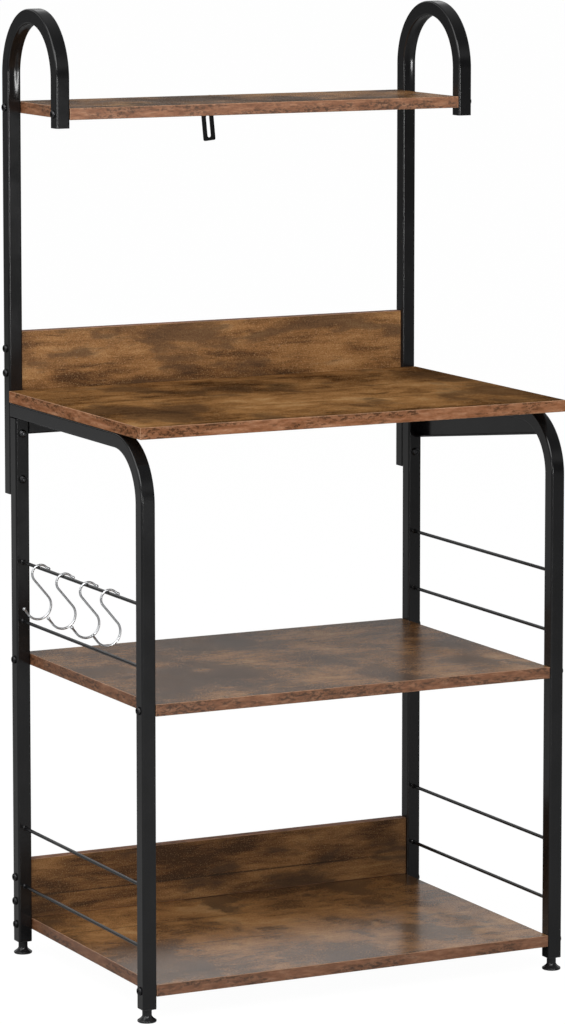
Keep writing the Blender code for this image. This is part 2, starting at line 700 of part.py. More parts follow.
def turned_to_hang(points):
    """Turns a wire's points about (0, 0) until its weight hangs straight below."""
    ball_volume = 4 / 3 * math.pi * (HOOK_BALL / 2) ** 3
    wire_area = math.pi * (HOOK_WIRE / 2) ** 2
    ball_length = ball_volume / wire_area - HOOK_BALL / 2
    moment = (Vector(points[0]) + Vector(points[-1])) * ball_length
    for first, second in zip(points, points[1:]):
        start = Vector(first)
        end = Vector(second)
        moment += (start + end) / 2 * (end - start).length
    angle = math.atan2(moment.x, -moment.y)
    turn = Matrix.Rotation(-angle, 2)
    return [tuple(turn @ Vector(point)) for point in points]


def hook_mesh():
    """Makes one hook: bent round wire with a ball on each end."""
    path = hook_path()
    curve = bpy.data.curves.new("hook", "CURVE")
    curve.dimensions = "3D"
    spline = curve.splines.new("POLY")
    spline.points.add(len(path) - 1)
    for point, (x, z) in zip(spline.points, path):
        point.co = (x, 0, z, 1)
    curve.bevel_depth = HOOK_WIRE / 2
    curve.bevel_resolution = 2
    curve.use_fill_caps = True
    hook = bpy.data.objects.new("hook", mesh_of(bpy.data.objects.new("hook", curve)))
    shape = bmesh.new()
    bmesh.ops.create_uvsphere(
        shape, u_segments=ROUND_SIDES, v_segments=BALL_RINGS, radius=HOOK_BALL / 2
    )
    ball = bpy.data.meshes.new("ball")
    shape.to_mesh(ball)
    shape.free()
    ends = [Matrix.Translation((x, 0, z)) for x, z in (path[0], path[-1])]
    return combined_mesh(hook, [("UNION", ball, end) for end in ends])


def build_hooks(rack):
    """Hangs the S-hooks on the left frame's upper rod."""
    mesh = hook_mesh()
    y = -HOOK_FIRST
    for number, step in enumerate((0, *HOOK_SPACINGS), start=1):
        y -= step
        placement = Matrix.Translation((-TUBE_X, y, HOOK_ROD_Z))
        rack.add(f"s_hook_{number}", mesh.copy(), rack.chrome, placement, smooth=True)


def build_wall_strap(rack):
    """Builds the slotted wall strap and the screw that holds it to the top shelf's rear edge."""
    height = STRAP_ABOVE_SCREW + STRAP_BELOW_SCREW
    middle = (0, (STRAP_ABOVE_SCREW - STRAP_BELOW_SCREW) / 2)
    outline = rounded_rectangle(STRAP_WIDTH, height, STRAP_CORNER, STRAP_CORNER_STEPS, middle)
    screw_hole = arc((0, 0), STRAP_SCREW / 2 + GAP, 0, math.tau, ROUND_SIDES)[:-1]
    slot_low = STRAP_SLOT_MARGIN - STRAP_BELOW_SCREW
    slot_middle = (0, slot_low + STRAP_SLOT_LENGTH / 2)
    slot = rounded_rectangle(
        STRAP_SLOT_WIDTH, STRAP_SLOT_LENGTH, STRAP_SLOT_WIDTH / 2, STRAP_CORNER_STEPS, slot_middle
    )
    mesh = plate_mesh([outline, screw_hole, slot], STRAP_THICKNESS)
    strap_y = UPRIGHT_REAR + GAP + STRAP_THICKNESS / 2
    seat = Matrix.Translation((STRAP_SCREW_X, strap_y, TOP_SHELF_Z))
    tilt = Matrix.Rotation(-STRAP_TILT, 4, "Y")
    mesh.transform(FRONT_VIEW)
    rack.add("wall_strap", mesh, rack.coat, seat @ tilt)
    head = STRAP_SCREW_HEAD / 2
    shank = STRAP_SCREW / 2
    crown_share = 0.55
    profile = [
        (0, STRAP_SCREW_HEAD_HEIGHT),
        (head * crown_share, STRAP_SCREW_HEAD_HEIGHT),
        (head, 0),
        (shank, 0),
        (shank, -STRAP_SCREW_LENGTH),
        (0, -STRAP_SCREW_LENGTH),
    ]
    seat_y = UPRIGHT_REAR + STRAP_THICKNESS + 2 * GAP
    placement = facing((STRAP_SCREW_X, seat_y, TOP_SHELF_Z), BACKWARD)
    screw = turned_mesh(profile, ROUND_SIDES)
    rack.add("wall_strap_screw", screw, rack.bolt, placement, smooth=True)


def place_rack(rack):
    """Moves the whole rack so that the origin is under the middle of its bounding box."""
    path = hook_path()
    radii = [HOOK_BALL / 2] + [HOOK_WIRE / 2] * (len(path) - 2) + [HOOK_BALL / 2]
    hook_reach = max(radius - x for (x, _), radius in zip(path, radii))
    left_reach = TUBE_X + hook_reach
    right_reach = max(FRAME_HALF + GAP + BOLT_HEAD_HEIGHT, TUBE_X + FOOT_DIAMETER / 2)
    front_reach = max(WORKTOP_DEPTH, FOOT_DIAMETER / 2 - FRONT_POST_Y)
    rear_reach = UPRIGHT_REAR + STRAP_THICKNESS + 2 * GAP + STRAP_SCREW_HEAD_HEIGHT
    rack.frame.location.x = (left_reach - right_reach) / 2
    rack.frame.location.y = (front_reach - rear_reach) / 2


def main():
    """Builds the whole rack."""
    clear_scene()
    rack = Rack()
    place_rack(rack)
    build_side_frame(rack, -1, "left")
    build_side_frame(rack, 1, "right")
    build_cross_rail(rack)
    build_gusset(rack)
    build_boards(rack)
    build_bolts(rack)
    build_feet(rack)
    build_hooks(rack)
    build_wall_strap(rack)
    bpy.context.view_layer.update()


main()
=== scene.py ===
"""Looks of the four-tier kitchen rack: refined fittings, finishes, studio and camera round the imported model.

Sizes are in metres. Most of them are given in the rack's own frame, in which x = 0 is the middle
between the two side frames, y = 0 is the rear face of the rear posts and z = 0 is the floor; the
worktop's own box says where that frame stands in the row.
"""
import logging
import math
from collections.abc import Iterable, Sequence
from dataclasses import dataclass, field
from enum import Enum

import bmesh
import bpy
from mathutils import Matrix, Vector


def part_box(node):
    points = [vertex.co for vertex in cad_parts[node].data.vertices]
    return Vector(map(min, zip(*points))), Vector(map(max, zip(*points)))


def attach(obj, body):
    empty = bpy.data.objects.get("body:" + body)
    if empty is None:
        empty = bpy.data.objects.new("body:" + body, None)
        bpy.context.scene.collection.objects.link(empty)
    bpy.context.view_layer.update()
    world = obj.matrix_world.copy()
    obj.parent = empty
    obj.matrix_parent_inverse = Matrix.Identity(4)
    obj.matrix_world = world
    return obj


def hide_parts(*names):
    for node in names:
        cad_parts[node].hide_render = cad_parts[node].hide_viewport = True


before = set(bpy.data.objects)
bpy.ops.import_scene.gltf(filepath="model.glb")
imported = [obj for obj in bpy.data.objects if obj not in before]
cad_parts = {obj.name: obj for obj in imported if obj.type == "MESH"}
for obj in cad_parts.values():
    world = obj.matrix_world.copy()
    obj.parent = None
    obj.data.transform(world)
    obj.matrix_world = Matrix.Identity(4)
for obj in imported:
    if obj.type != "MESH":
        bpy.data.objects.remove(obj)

LOG = logging.getLogger("kitchen_rack")

Socket = bpy.types.NodeSocket
Value = Socket | float | tuple[float, ...]
Triple = tuple[float, float, float]
Colour = Triple

RACK_BODY = "rack"

TURN = math.tau
QUARTER = math.pi / 2
SMOOTH_ANGLE = math.radians(35)

# The dish in a bend's inner wall grows shallower over this turn at each end, to this share of its depth.
DISH_FADE = math.radians(24)
DISH_END_SHARE = 0.8


class Side(Enum):
    """The two side frames, with the sign of their x."""

    LEFT = -1
    RIGHT = 1

    @property
    def word(self) -> str:
        """The side's name as the CAD nodes spell it."""
        return self.name.lower()


class BroadFace(Enum):
    """The local axis that a board's two broad faces look along."""

    UP = "Z"
    BACK = "Y"


class Slot(Enum):
    """The record's material slots."""

    COAT = "coated_steel"
    BOARD = "brown_board"
    PLASTIC = "black_plastic"
    BOLT = "black_bolt"
    ZINC = "zinc_steel"
    CHROME = "chrome_wire"


@dataclass(frozen=True)
class RackSizes:
    """The rack's driving sizes, as its CAD source names them."""

    worktop_width: float = 0.600
    worktop_depth: float = 0.405
    worktop_height: float = 0.745
    middle_height: float = 0.400
    bottom_height: float = 0.047
    top_height: float = 1.1205
    board: float = 0.015
    tube: float = 0.019
    wall: float = 0.0012
    corner: float = 0.0024
    bend_radius: float = 0.082
    arch_reach: float = 0.174
    arch_top: float = 1.243
    arch_leg_bottom: float = 1.095
    upright_bottom: float = 0.609
    post_bottom: float = 0.018
    rod: float = 0.0045
    first_rod: float = 0.044
    rod_spacing: float = 0.078
    gap: float = 0.0003
    frame_inset: float = 0.001

    @property
    def frame_half(self) -> float:
        """Half the width over the side frames."""
        return self.worktop_width / 2 - self.frame_inset

    @property
    def tube_x(self) -> float:
        """The x of the side frames' middle plane."""
        return self.frame_half - self.tube / 2

    @property
    def front_post_y(self) -> float:
        """The y of the front posts' middle line."""
        return self.tube / 2 - self.worktop_depth

    @property
    def rail_top(self) -> float:
        """The height of the side rails' top face."""
        return self.worktop_height - self.board - self.gap

    @property
    def upright_y(self) -> float:
        """The y of the uprights' middle line."""
        return self.gap + self.tube / 2

    @property
    def upright_rear(self) -> float:
        """The y of the uprights' rear face."""
        return self.gap + self.tube

    @property
    def hook_rod_height(self) -> float:
        """The height of the rod that carries the hooks."""
        return self.middle_height + self.first_rod + self.rod_spacing


SIZES = RackSizes()


def rack_origin() -> Vector:
    """Gives where the rack's own frame stands in the row, from the worktop's box."""
    low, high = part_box("worktop")
    return Vector(((low.x + high.x) / 2, high.y, 0.0))


ORIGIN = rack_origin()


# Node trees


class Sheet:
    """A node tree being wired, with a short call for each kind of node that the finishes use."""

    def __init__(self, tree: bpy.types.NodeTree) -> None:
        """Starts wiring a tree."""
        self.tree = tree

    def node(self, kind: str, settings: dict | None = None, **values: Value) -> bpy.types.Node:
        """Adds a node.

        Args:
            kind: the node's type name without its ShaderNode prefix.
            settings: the node's own properties.
            values: its inputs by name, with underscores for spaces; a socket is linked.

        Returns:
            The new node.
        """
        made = self.tree.nodes.new("ShaderNode" + kind)
        for name, value in (settings or {}).items():
            setattr(made, name, value)
        for name, value in values.items():
            self.feed(made.inputs[name.replace("_", " ")], value)
        return made

    def feed(self, socket: Socket, value: Value) -> None:
        """Links a socket to an input, or sets the input's own value.

        Args:
            socket: the input.
            value: a socket to link, or a number, vector or colour.
        """
        if isinstance(value, bpy.types.NodeSocket):
            self.tree.links.new(value, socket)
        elif isinstance(value, tuple) and len(value) == 3 and socket.type == "RGBA":
            socket.default_value = (*value, 1.0)
        else:
            socket.default_value = value

    def math(self, operation: str, *terms: Value, clamp: bool = False) -> Socket:
        """Adds a Math node.

        Args:
            operation: the operation's name.
            terms: its inputs in order.
            clamp: whether its result is kept within 0 and 1.

        Returns:
            Its result.
        """
        made = self.tree.nodes.new("ShaderNodeMath")
        made.operation = operation
        made.use_clamp = clamp
        for socket, value in zip(made.inputs, terms):
            self.feed(socket, value)
        return made.outputs[0]

    def times(self, first: Value, second: Value, clamp: bool = False) -> Socket:
        """Gives the product of two values."""
        return self.math("MULTIPLY", first, second, clamp=clamp)

    def plus(self, first: Value, second: Value) -> Socket:
        """Gives the sum of two values."""
        return self.math("ADD", first, second)

    def minus(self, first: Value, second: Value) -> Socket:
        """Gives the first value less the second."""
        return self.math("SUBTRACT", first, second)

    def vector(self, operation: str, *terms: Value) -> Socket:
        """Adds a Vector Math node.

        Args:
            operation: the operation's name.
            terms: its inputs in order.

        Returns:
            Its result.
        """
        made = self.tree.nodes.new("ShaderNodeVectorMath")
        made.operation = operation
        for socket, value in zip(made.inputs, terms):
            self.feed(socket, value)
        return made.outputs[0]

    def noise(self, place: Socket, scale: float, detail: float = 3.0, rough: float = 0.5,
              distortion: float = 0.0, colour: bool = False) -> Socket:
        """Adds a noise texture.

        Args:
            place: where it is read.
            scale: its features to a unit of place.
            detail: how many finer octaves it has.
            rough: how strong each finer octave is.
            distortion: how much it is bent by itself.
            colour: whether its colour is wanted.

        Returns:
            Its value, or its colour.
        """
        made = self.node("TexNoise", {"noise_dimensions": "3D"}, Vector=place, Scale=scale,
                         Detail=detail, Roughness=rough, Distortion=distortion)
        return made.outputs["Color" if colour else "Fac"]

    def grained(self, place: Socket, rates: Triple, detail: float, rough: float = 0.5,
                distortion: float = 0.0) -> Socket:
        """Adds a noise texture that is finer one way than another.

        Args:
            place: where it is read.
            rates: its features to a unit of place along each axis.
            detail: how many finer octaves it has.
            rough: how strong each finer octave is.
            distortion: how much it is bent by itself.

        Returns:
            Its value.
        """
        return self.noise(self.scaled(place, rates), 1.0, detail, rough, distortion)

    def span(self, value: Socket, low: float, high: float, start: float = 0.0, end: float = 1.0) -> Socket:
        """Adds a clamped Map Range node with soft ends.

        Args:
            value: what is mapped.
            low: the value that gives start.
            high: the value that gives end.
            start: the result at low.
            end: the result at high.

        Returns:
            The mapped value.
        """
        made = self.node("MapRange", {"interpolation_type": "SMOOTHSTEP", "clamp": True}, Value=value)
        for name, number in (("From Min", low), ("From Max", high), ("To Min", start), ("To Max", end)):
            made.inputs[name].default_value = number
        return made.outputs["Result"]

    def blend(self, share: Value, first: Value, second: Value, mode: str = "MIX") -> Socket:
        """Adds a Mix node for colours.

        Args:
            share: how much of the second colour shows.
            first: the first colour.
            second: the second one.
            mode: the node's blend type.

        Returns:
            The mixed colour.
        """
        # A Mix node has inputs of one name for each data type: its colours are numbers 6 and 7.
        made = self.tree.nodes.new("ShaderNodeMix")
        made.data_type = "RGBA"
        made.blend_type = mode
        self.feed(made.inputs[0], share)
        self.feed(made.inputs[6], first)
        self.feed(made.inputs[7], second)
        return made.outputs[2]

    def ramp(self, value: Socket, stops: Sequence[tuple[float, Colour]]) -> Socket:
        """Adds a colour ramp.

        Args:
            value: what it is read at.
            stops: its places and their colours.

        Returns:
            Its colour.
        """
        made = self.node("ValToRGB", Fac=value)
        elements = made.color_ramp.elements
        while len(elements) < len(stops):
            elements.new(0.5)
        for element, (place, colour) in zip(elements, stops):
            element.position = place
            element.color = (*colour, 1.0)
        return made.outputs["Color"]

    def parts(self, place: Socket) -> tuple[Socket, Socket, Socket]:
        """Gives the three parts of a vector."""
        made = self.node("SeparateXYZ", Vector=place)
        return made.outputs[0], made.outputs[1], made.outputs[2]

    def joined(self, x: Value, y: Value, z: Value) -> Socket:
        """Gives a vector made of three parts."""
        return self.node("CombineXYZ", X=x, Y=y, Z=z).outputs[0]

    def weighted(self, parts: Iterable[tuple[Socket, float]]) -> Socket:
        """Adds up values, each times its weight.

        Args:
            parts: the values and their weights.

        Returns:
            The sum.
        """
        total = 0.0
        for value, weight in parts:
            total = self.math("MULTIPLY_ADD", value, weight, total)
        return total

    def scaled(self, place: Socket, factors: Triple) -> Socket:
        """Gives a vector with each of its parts multiplied."""
        return self.vector("MULTIPLY", place, factors)

    def dimmed(self, colour: Socket, level: Socket) -> Socket:
        """Gives a colour times a level."""
        return self.blend(1.0, colour, self.joined(level, level, level), "MULTIPLY")

    def group(self, tree: bpy.types.NodeTree, **values: Value) -> bpy.types.Node:
        """Places a node group.

        Args:
            tree: the group's tree.
            values: its inputs by name, with underscores for spaces.

        Returns:
            The group's node.
        """
        made = self.tree.nodes.new("ShaderNodeGroup")
        made.node_tree = tree
        for name, value in values.items():
            self.feed(made.inputs[name.replace("_", " ")], value)
        return made

    def bump(self, height: Socket, distance: float) -> Socket:
        """Gives the normal of a Bump node."""
        return self.node("Bump", Height=height, Distance=distance).outputs["Normal"]

    def place(self) -> Socket:
        """Gives the object coordinates."""
        return self.node("TexCoord").outputs["Object"]


def new_group(name: str, inputs: dict[str, tuple[str, Value]],
              outputs: dict[str, str]) -> tuple[Sheet, dict, dict]:
    """Makes an empty shader node group.

    Args:
        name: the group's name.
        inputs: socket kind and default value by input name.
        outputs: socket kind by output name.

    Returns:
        The sheet of its tree, its inner input sockets and its inner output sockets by name.
    """
    tree = bpy.data.node_groups.new(name, "ShaderNodeTree")
    for label, (kind, value) in inputs.items():
        made = tree.interface.new_socket(name=label, in_out="INPUT", socket_type="NodeSocket" + kind)
        if kind != "Vector":
            made.default_value = value
    for label, kind in outputs.items():
        tree.interface.new_socket(name=label, in_out="OUTPUT", socket_type="NodeSocket" + kind)
    start = tree.nodes.new("NodeGroupInput")
    end = tree.nodes.new("NodeGroupOutput")
    given = {label: start.outputs[label] for label in inputs}
    wanted = {label: end.inputs[label] for label in outputs}
    return Sheet(tree), given, wanted


@dataclass(frozen=True)
class TimberInks:
    """The inks of the boards' printed paper; the grain's go from dark to pale over its tone."""

    grain: tuple[tuple[float, Colour], ...] = (
        (0.41, (0.100, 0.042, 0.013)),
        (0.46, (0.220, 0.098, 0.032)),
        (0.51, (0.360, 0.168, 0.056)),
        (0.56, (0.490, 0.240, 0.084)),
        (0.62, (0.640, 0.360, 0.150)),
    )
    smoke: Colour = (0.092, 0.051, 0.027)
    dash: Colour = (0.060, 0.029, 0.012)
    knot: Colour = (0.045, 0.024, 0.011)
    seam: Colour = (0.040, 0.020, 0.009)
    fleck: Colour = (0.72, 0.48, 0.25)
    pore: Colour = (0.062, 0.032, 0.015)
    nick: Colour = (0.66, 0.52, 0.36)


@dataclass(frozen=True)
class BandInks:
    """The inks of the boards' edge band, and the pale colour painted on its chamfered arrises as a highlight.
    """

    grain: tuple[tuple[float, Colour], ...] = (
        (0.32, (0.205, 0.082, 0.036)),
        (0.47, (0.300, 0.128, 0.062)),
        (0.58, (0.375, 0.174, 0.090)),
        (0.72, (0.470, 0.250, 0.145)),
    )
    shade: Colour = (0.150, 0.072, 0.036)
    fleck: Colour = (0.070, 0.034, 0.018)
    arris: Colour = (0.60, 0.37, 0.23)


TIMBER_INKS = TimberInks()
BAND_INKS = BandInks()


class Effects:
    """The node groups that the finishes share, each built once."""

    def __init__(self) -> None:
        """Builds every group."""
        self.paper = self.build_paper()
        self.band = self.build_band()
        self.peel = self.build_peel()
        self.handling = self.build_handling()

    @staticmethod
    def build_paper() -> bpy.types.NodeTree:
        """Builds the printed timber paper of the boards' broad faces.

        Returns:
            A group with Colour, Relief and Gloss outputs. Place is in metres with the grain along
            its x; Patch is Place measured in blotches.
        """
        sheet, given, wanted = new_group(
            "rustic_timber_paper",
            {"Place": ("Vector", 0.0), "Patch": ("Vector", 0.0), "Seed": ("Float", 0.0),
             "Smoke": ("Float", 0.8), "Plank": ("Float", 0.105), "Bright": ("Float", 1.0)},
            {"Colour": "Color", "Relief": "Float", "Gloss": "Float"},
        )
        shift = sheet.joined(
            sheet.times(given["Seed"], 1.37),
            sheet.times(given["Seed"], 0.61),
            sheet.times(given["Seed"], 2.11),
        )
        flat = sheet.vector("ADD", given["Place"], shift)

        # Broad clouds, streaks along the grain, fine grain and grit make the tone.
        patch = sheet.vector("ADD", given["Patch"], shift)
        warp = sheet.vector("SUBTRACT", sheet.noise(patch, 0.9, 3.0, colour=True), (0.5, 0.5, 0.5))
        patch = sheet.vector("ADD", patch, sheet.scaled(warp, (0.50, 0.30, 0.0)))
        cloud = sheet.grained(patch, (0.80, 0.80, 1.0), 5.0, 0.54)
        streak = sheet.grained(patch, (1.6, 4.4, 1.0), 6.0, 0.62, 0.25)
        fine = sheet.grained(flat, (55.0, 760.0, 1.0), 3.0, 0.62)
        grit = sheet.noise(sheet.scaled(flat, (1.0, 1.35, 1.0)), 520.0, 3.0, 0.72)
        tone = sheet.weighted(((cloud, 0.44), (streak, 0.34), (fine, 0.10), (grit, 0.12)))

        # Each printed plank is a little paler or darker than its neighbours.
        _, across, _ = sheet.parts(flat)
        plank = sheet.math("DIVIDE", across, given["Plank"])
        luck = sheet.node("TexWhiteNoise", {"noise_dimensions": "1D"},
                          W=sheet.math("FLOOR", plank)).outputs["Value"]
        tone = sheet.plus(tone, sheet.times(sheet.minus(luck, 0.5), 0.05))
        colour = sheet.ramp(tone, TIMBER_INKS.grain)

        # Smoky clouds with torn edges lie over the grain, with short dark dashes.
        drift = sheet.noise(sheet.vector("ADD", patch, (7.3, 2.9, 0.0)), 0.85, 5.0, 0.54)
        torn = sheet.plus(drift, sheet.times(sheet.minus(streak, 0.5), 0.40))
        smoke = sheet.times(sheet.span(torn, 0.490, 0.610), given["Smoke"], clamp=True)
        colour = sheet.blend(smoke, colour, TIMBER_INKS.smoke)
        dash = sheet.grained(patch, (1.8, 5.2, 1.0), 5.0, 0.66)
        dash = sheet.times(sheet.span(dash, 0.55, 0.66), sheet.span(cloud, 0.60, 0.44, 0.10, 0.60))
        colour = sheet.blend(dash, colour, TIMBER_INKS.dash)

        # A few knots
        knots = sheet.node("TexVoronoi", {"feature": "F1"}, Scale=1.0, Randomness=1.0,
                           Vector=sheet.scaled(patch, (0.42, 0.42, 1.0)))
        rarity = sheet.span(sheet.parts(knots.outputs["Color"])[0], 0.84, 0.88)
        heart = sheet.times(sheet.span(knots.outputs["Distance"], 0.16, 0.02), rarity)
        colour = sheet.blend(sheet.times(heart, 0.8), colour, TIMBER_INKS.knot)

        # Broken seams between the planks
        part = sheet.math("ABSOLUTE", sheet.minus(sheet.math("FRACT", plank), 0.5))
        fade = sheet.span(sheet.grained(flat, (6.0, 1.0, 1.0), 2.0), 0.40, 0.50)
        seam = sheet.times(sheet.span(part, 0.487, 0.496), fade)
        colour = sheet.blend(sheet.times(seam, 0.80), colour, TIMBER_INKS.seam)

        # Pale flecks, dark pores and rare pale nicks
        pale = sheet.times(sheet.span(grit, 0.55, 0.66), sheet.span(smoke, 0.8, 0.0, 0.25, 1.0))
        colour = sheet.blend(sheet.times(pale, 0.42), colour, TIMBER_INKS.fleck)
        pore = sheet.span(grit, 0.45, 0.33)
        colour = sheet.blend(sheet.times(pore, 0.46), colour, TIMBER_INKS.pore)
        nick = sheet.grained(flat, (150.0, 210.0, 1.0), 3.0, 0.75, 1.6)
        rare = sheet.span(sheet.grained(flat, (9.0, 16.0, 1.0), 2.0), 0.62, 0.68)
        nick = sheet.times(sheet.span(nick, 0.66, 0.70), rare)
        colour = sheet.blend(sheet.times(nick, 0.7), colour, TIMBER_INKS.nick)
        # Bright scales the whole print: partly the board's own tone, partly painted light and shade for how
        # brightly the board is lit.
        colour = sheet.dimmed(colour, given["Bright"])

        relief = sheet.minus(fine, sheet.times(sheet.math("MAXIMUM", pore, seam), 0.7))
        gloss = sheet.plus(sheet.times(fine, 0.05), sheet.times(smoke, -0.03))
        sheet.feed(wanted["Colour"], colour)
        sheet.feed(wanted["Relief"], relief)
        sheet.feed(wanted["Gloss"], gloss)
        return sheet.tree

    @staticmethod
    def build_band() -> bpy.types.NodeTree:
        """Builds the redder, flecked band that is glued round the boards' edges.

        Returns:
            A group with Colour and Relief outputs. Place is in metres with the edge along its x.
        """
        sheet, given, wanted = new_group(
            "flecked_edge_band",
            {"Place": ("Vector", 0.0), "Seed": ("Float", 0.0), "Bright": ("Float", 1.0)},
            {"Colour": "Color", "Relief": "Float"},
        )
        shift = sheet.joined(sheet.times(given["Seed"], 0.83), given["Seed"], given["Seed"])
        place = sheet.vector("ADD", given["Place"], shift)
        wave = sheet.grained(place, (45.0, 210.0, 1.0), 5.0, 0.66, 0.15)
        colour = sheet.ramp(wave, BAND_INKS.grain)
        patch = sheet.span(sheet.grained(place, (12.0, 60.0, 1.0), 4.0, 0.62), 0.42, 0.58)
        dash = sheet.grained(place, (130.0, 300.0, 1.0), 4.0, 0.78, 0.15)
        fleck = sheet.times(sheet.span(dash, 0.47, 0.56), sheet.span(patch, 0.0, 1.0, 0.18, 0.88))
        colour = sheet.blend(sheet.times(patch, 0.28), colour, BAND_INKS.shade)
        colour = sheet.blend(fleck, colour, BAND_INKS.fleck)
        # Bright scales the whole band: partly its own tone, partly painted light and shade for how brightly
        # the edge is lit.
        colour = sheet.dimmed(colour, given["Bright"])
        sheet.feed(wanted["Colour"], colour)
        sheet.feed(wanted["Relief"], sheet.minus(wave, fleck))
        return sheet.tree

    @staticmethod
    def build_peel() -> bpy.types.NodeTree:
        """Builds the fine skin of sprayed or moulded surfaces: low dimples and finer grit.

        Returns:
            A group with Relief and Specks outputs.
        """
        sheet, given, wanted = new_group(
            "fine_skin",
            {"Place": ("Vector", 0.0), "Size": ("Float", 1.0), "Grit": ("Float", 0.3)},
            {"Relief": "Float", "Specks": "Float"},
        )
        shrink = sheet.math("DIVIDE", 1.0, given["Size"])
        scale = sheet.node("VectorMath", {"operation": "SCALE"}, Scale=shrink)
        sheet.feed(scale.inputs[0], given["Place"])
        place = scale.outputs[0]
        dimples = sheet.noise(place, 520.0, 2.0, 0.45)
        grit = sheet.noise(place, 2300.0, 1.0, 0.5)
        relief = sheet.plus(dimples, sheet.times(grit, given["Grit"]))
        dust = sheet.noise(place, 1350.0, 1.0, 0.6)
        sheet.feed(wanted["Relief"], relief)
        sheet.feed(wanted["Specks"], sheet.span(dust, 0.74, 0.80))
        return sheet.tree

    @staticmethod
    def build_handling() -> bpy.types.NodeTree:
        """Builds the faint marks of handling: soft smudges and thin rubbed lines.

        Returns:
            A group with Smudge and Rub outputs.
        """
        sheet, given, wanted = new_group(
            "handling_marks",
            {"Place": ("Vector", 0.0), "Seed": ("Float", 0.0)},
            {"Smudge": "Float", "Rub": "Float"},
        )
        place = sheet.vector("ADD", given["Place"], sheet.joined(given["Seed"], given["Seed"], given["Seed"]))
        smudge = sheet.span(sheet.noise(place, 14.0, 4.0, 0.6, 0.5), 0.38, 0.68)
        lines = sheet.grained(place, (40.0, 40.0, 700.0), 2.0, 0.6)
        rub = sheet.times(sheet.span(lines, 0.64, 0.72), sheet.span(smudge, 0.5, 1.0))
        sheet.feed(wanted["Smudge"], smudge)
        sheet.feed(wanted["Rub"], rub)
        return sheet.tree


# Finishes


@dataclass(frozen=True)
class Finish:
    """What every finish has: a name, its relief's depth and a Principled shader that build wires."""

    name: str
    relief: float = 0.00001

    def start(self) -> tuple[bpy.types.Material, Sheet, bpy.types.Node]:
        """Makes the material.

        Returns:
            The material, the sheet of its nodes and its Principled shader.
        """
        material = bpy.data.materials.new(self.name)
        material.use_nodes = True
        shader = material.node_tree.nodes["Principled BSDF"]
        return material, Sheet(material.node_tree), shader

    def wire(self, sheet: Sheet, shader: bpy.types.Node, colour: Socket, rough: Socket,
             height: Socket) -> None:
        """Feeds the shader.

        Args:
            sheet: the material's sheet.
            shader: its Principled shader.
            colour: the base colour.
            rough: the roughness.
            height: the relief, whose depth is the finish's own.
        """
        sheet.feed(shader.inputs["Base Color"], colour)
        sheet.feed(shader.inputs["Roughness"], rough)
        sheet.feed(shader.inputs["Normal"], sheet.bump(height, self.relief))

    @staticmethod
    def settle(shader: bpy.types.Node, **values: Value) -> None:
        """Sets values that are the same all over the surface on the shader's own sockets."""
        for name, value in values.items():
            shader.inputs[name.replace("_", " ")].default_value = value


@dataclass(frozen=True)
class SkinnedFinish(Finish):
    """A finish with a fine skin, sprayed, moulded or drawn, and with marks of handling.

    The skin's size is against the powder coat's; smudges dull the surface by adding roughness.
    """

    size: float = 1.0
    grit: float = 0.25
    marks_seed: float = 0.0
    smudge_dulling: float = 0.05

    def skin_and_marks(self, effects: Effects, sheet: Sheet) -> tuple[bpy.types.Node, bpy.types.Node]:
        """Adds the surface's fine skin and its marks of handling.

        Args:
            effects: the shared node groups.
            sheet: the material's sheet.

        Returns:
            The nodes of the skin's group and the marks' group.
        """
        place = sheet.place()
        skin = sheet.group(effects.peel, Place=place, Size=self.size, Grit=self.grit)
        marks = sheet.group(effects.handling, Place=place, Seed=self.marks_seed)
        return skin, marks


@dataclass(frozen=True)
class PowderCoat(SkinnedFinish):
    """Satin black powder coat over steel, with a low orange-peel skin."""

    black: Colour = (0.0066, 0.0066, 0.0070)
    dusty: Colour = (0.01254, 0.01254, 0.0133)
    dust: Colour = (0.04, 0.04, 0.04)
    roughness: float = 0.15
    smudge_share: float = 0.35
    dust_share: float = 0.25
    rub_shine: float = 0.06

    def build(self, effects: Effects) -> bpy.types.Material:
        """Wires the coat's material.

        Args:
            effects: the shared node groups.

        Returns:
            The material.
        """
        material, sheet, shader = self.start()
        skin, marks = self.skin_and_marks(effects, sheet)
        smudge = marks.outputs["Smudge"]
        colour = sheet.blend(sheet.times(smudge, self.smudge_share), self.black, self.dusty)
        colour = sheet.blend(sheet.times(skin.outputs["Specks"], self.dust_share), colour, self.dust)
        rough = sheet.plus(self.roughness, sheet.times(smudge, self.smudge_dulling))
        rough = sheet.minus(rough, sheet.times(marks.outputs["Rub"], self.rub_shine))
        self.wire(sheet, shader, colour, rough, skin.outputs["Relief"])
        return material


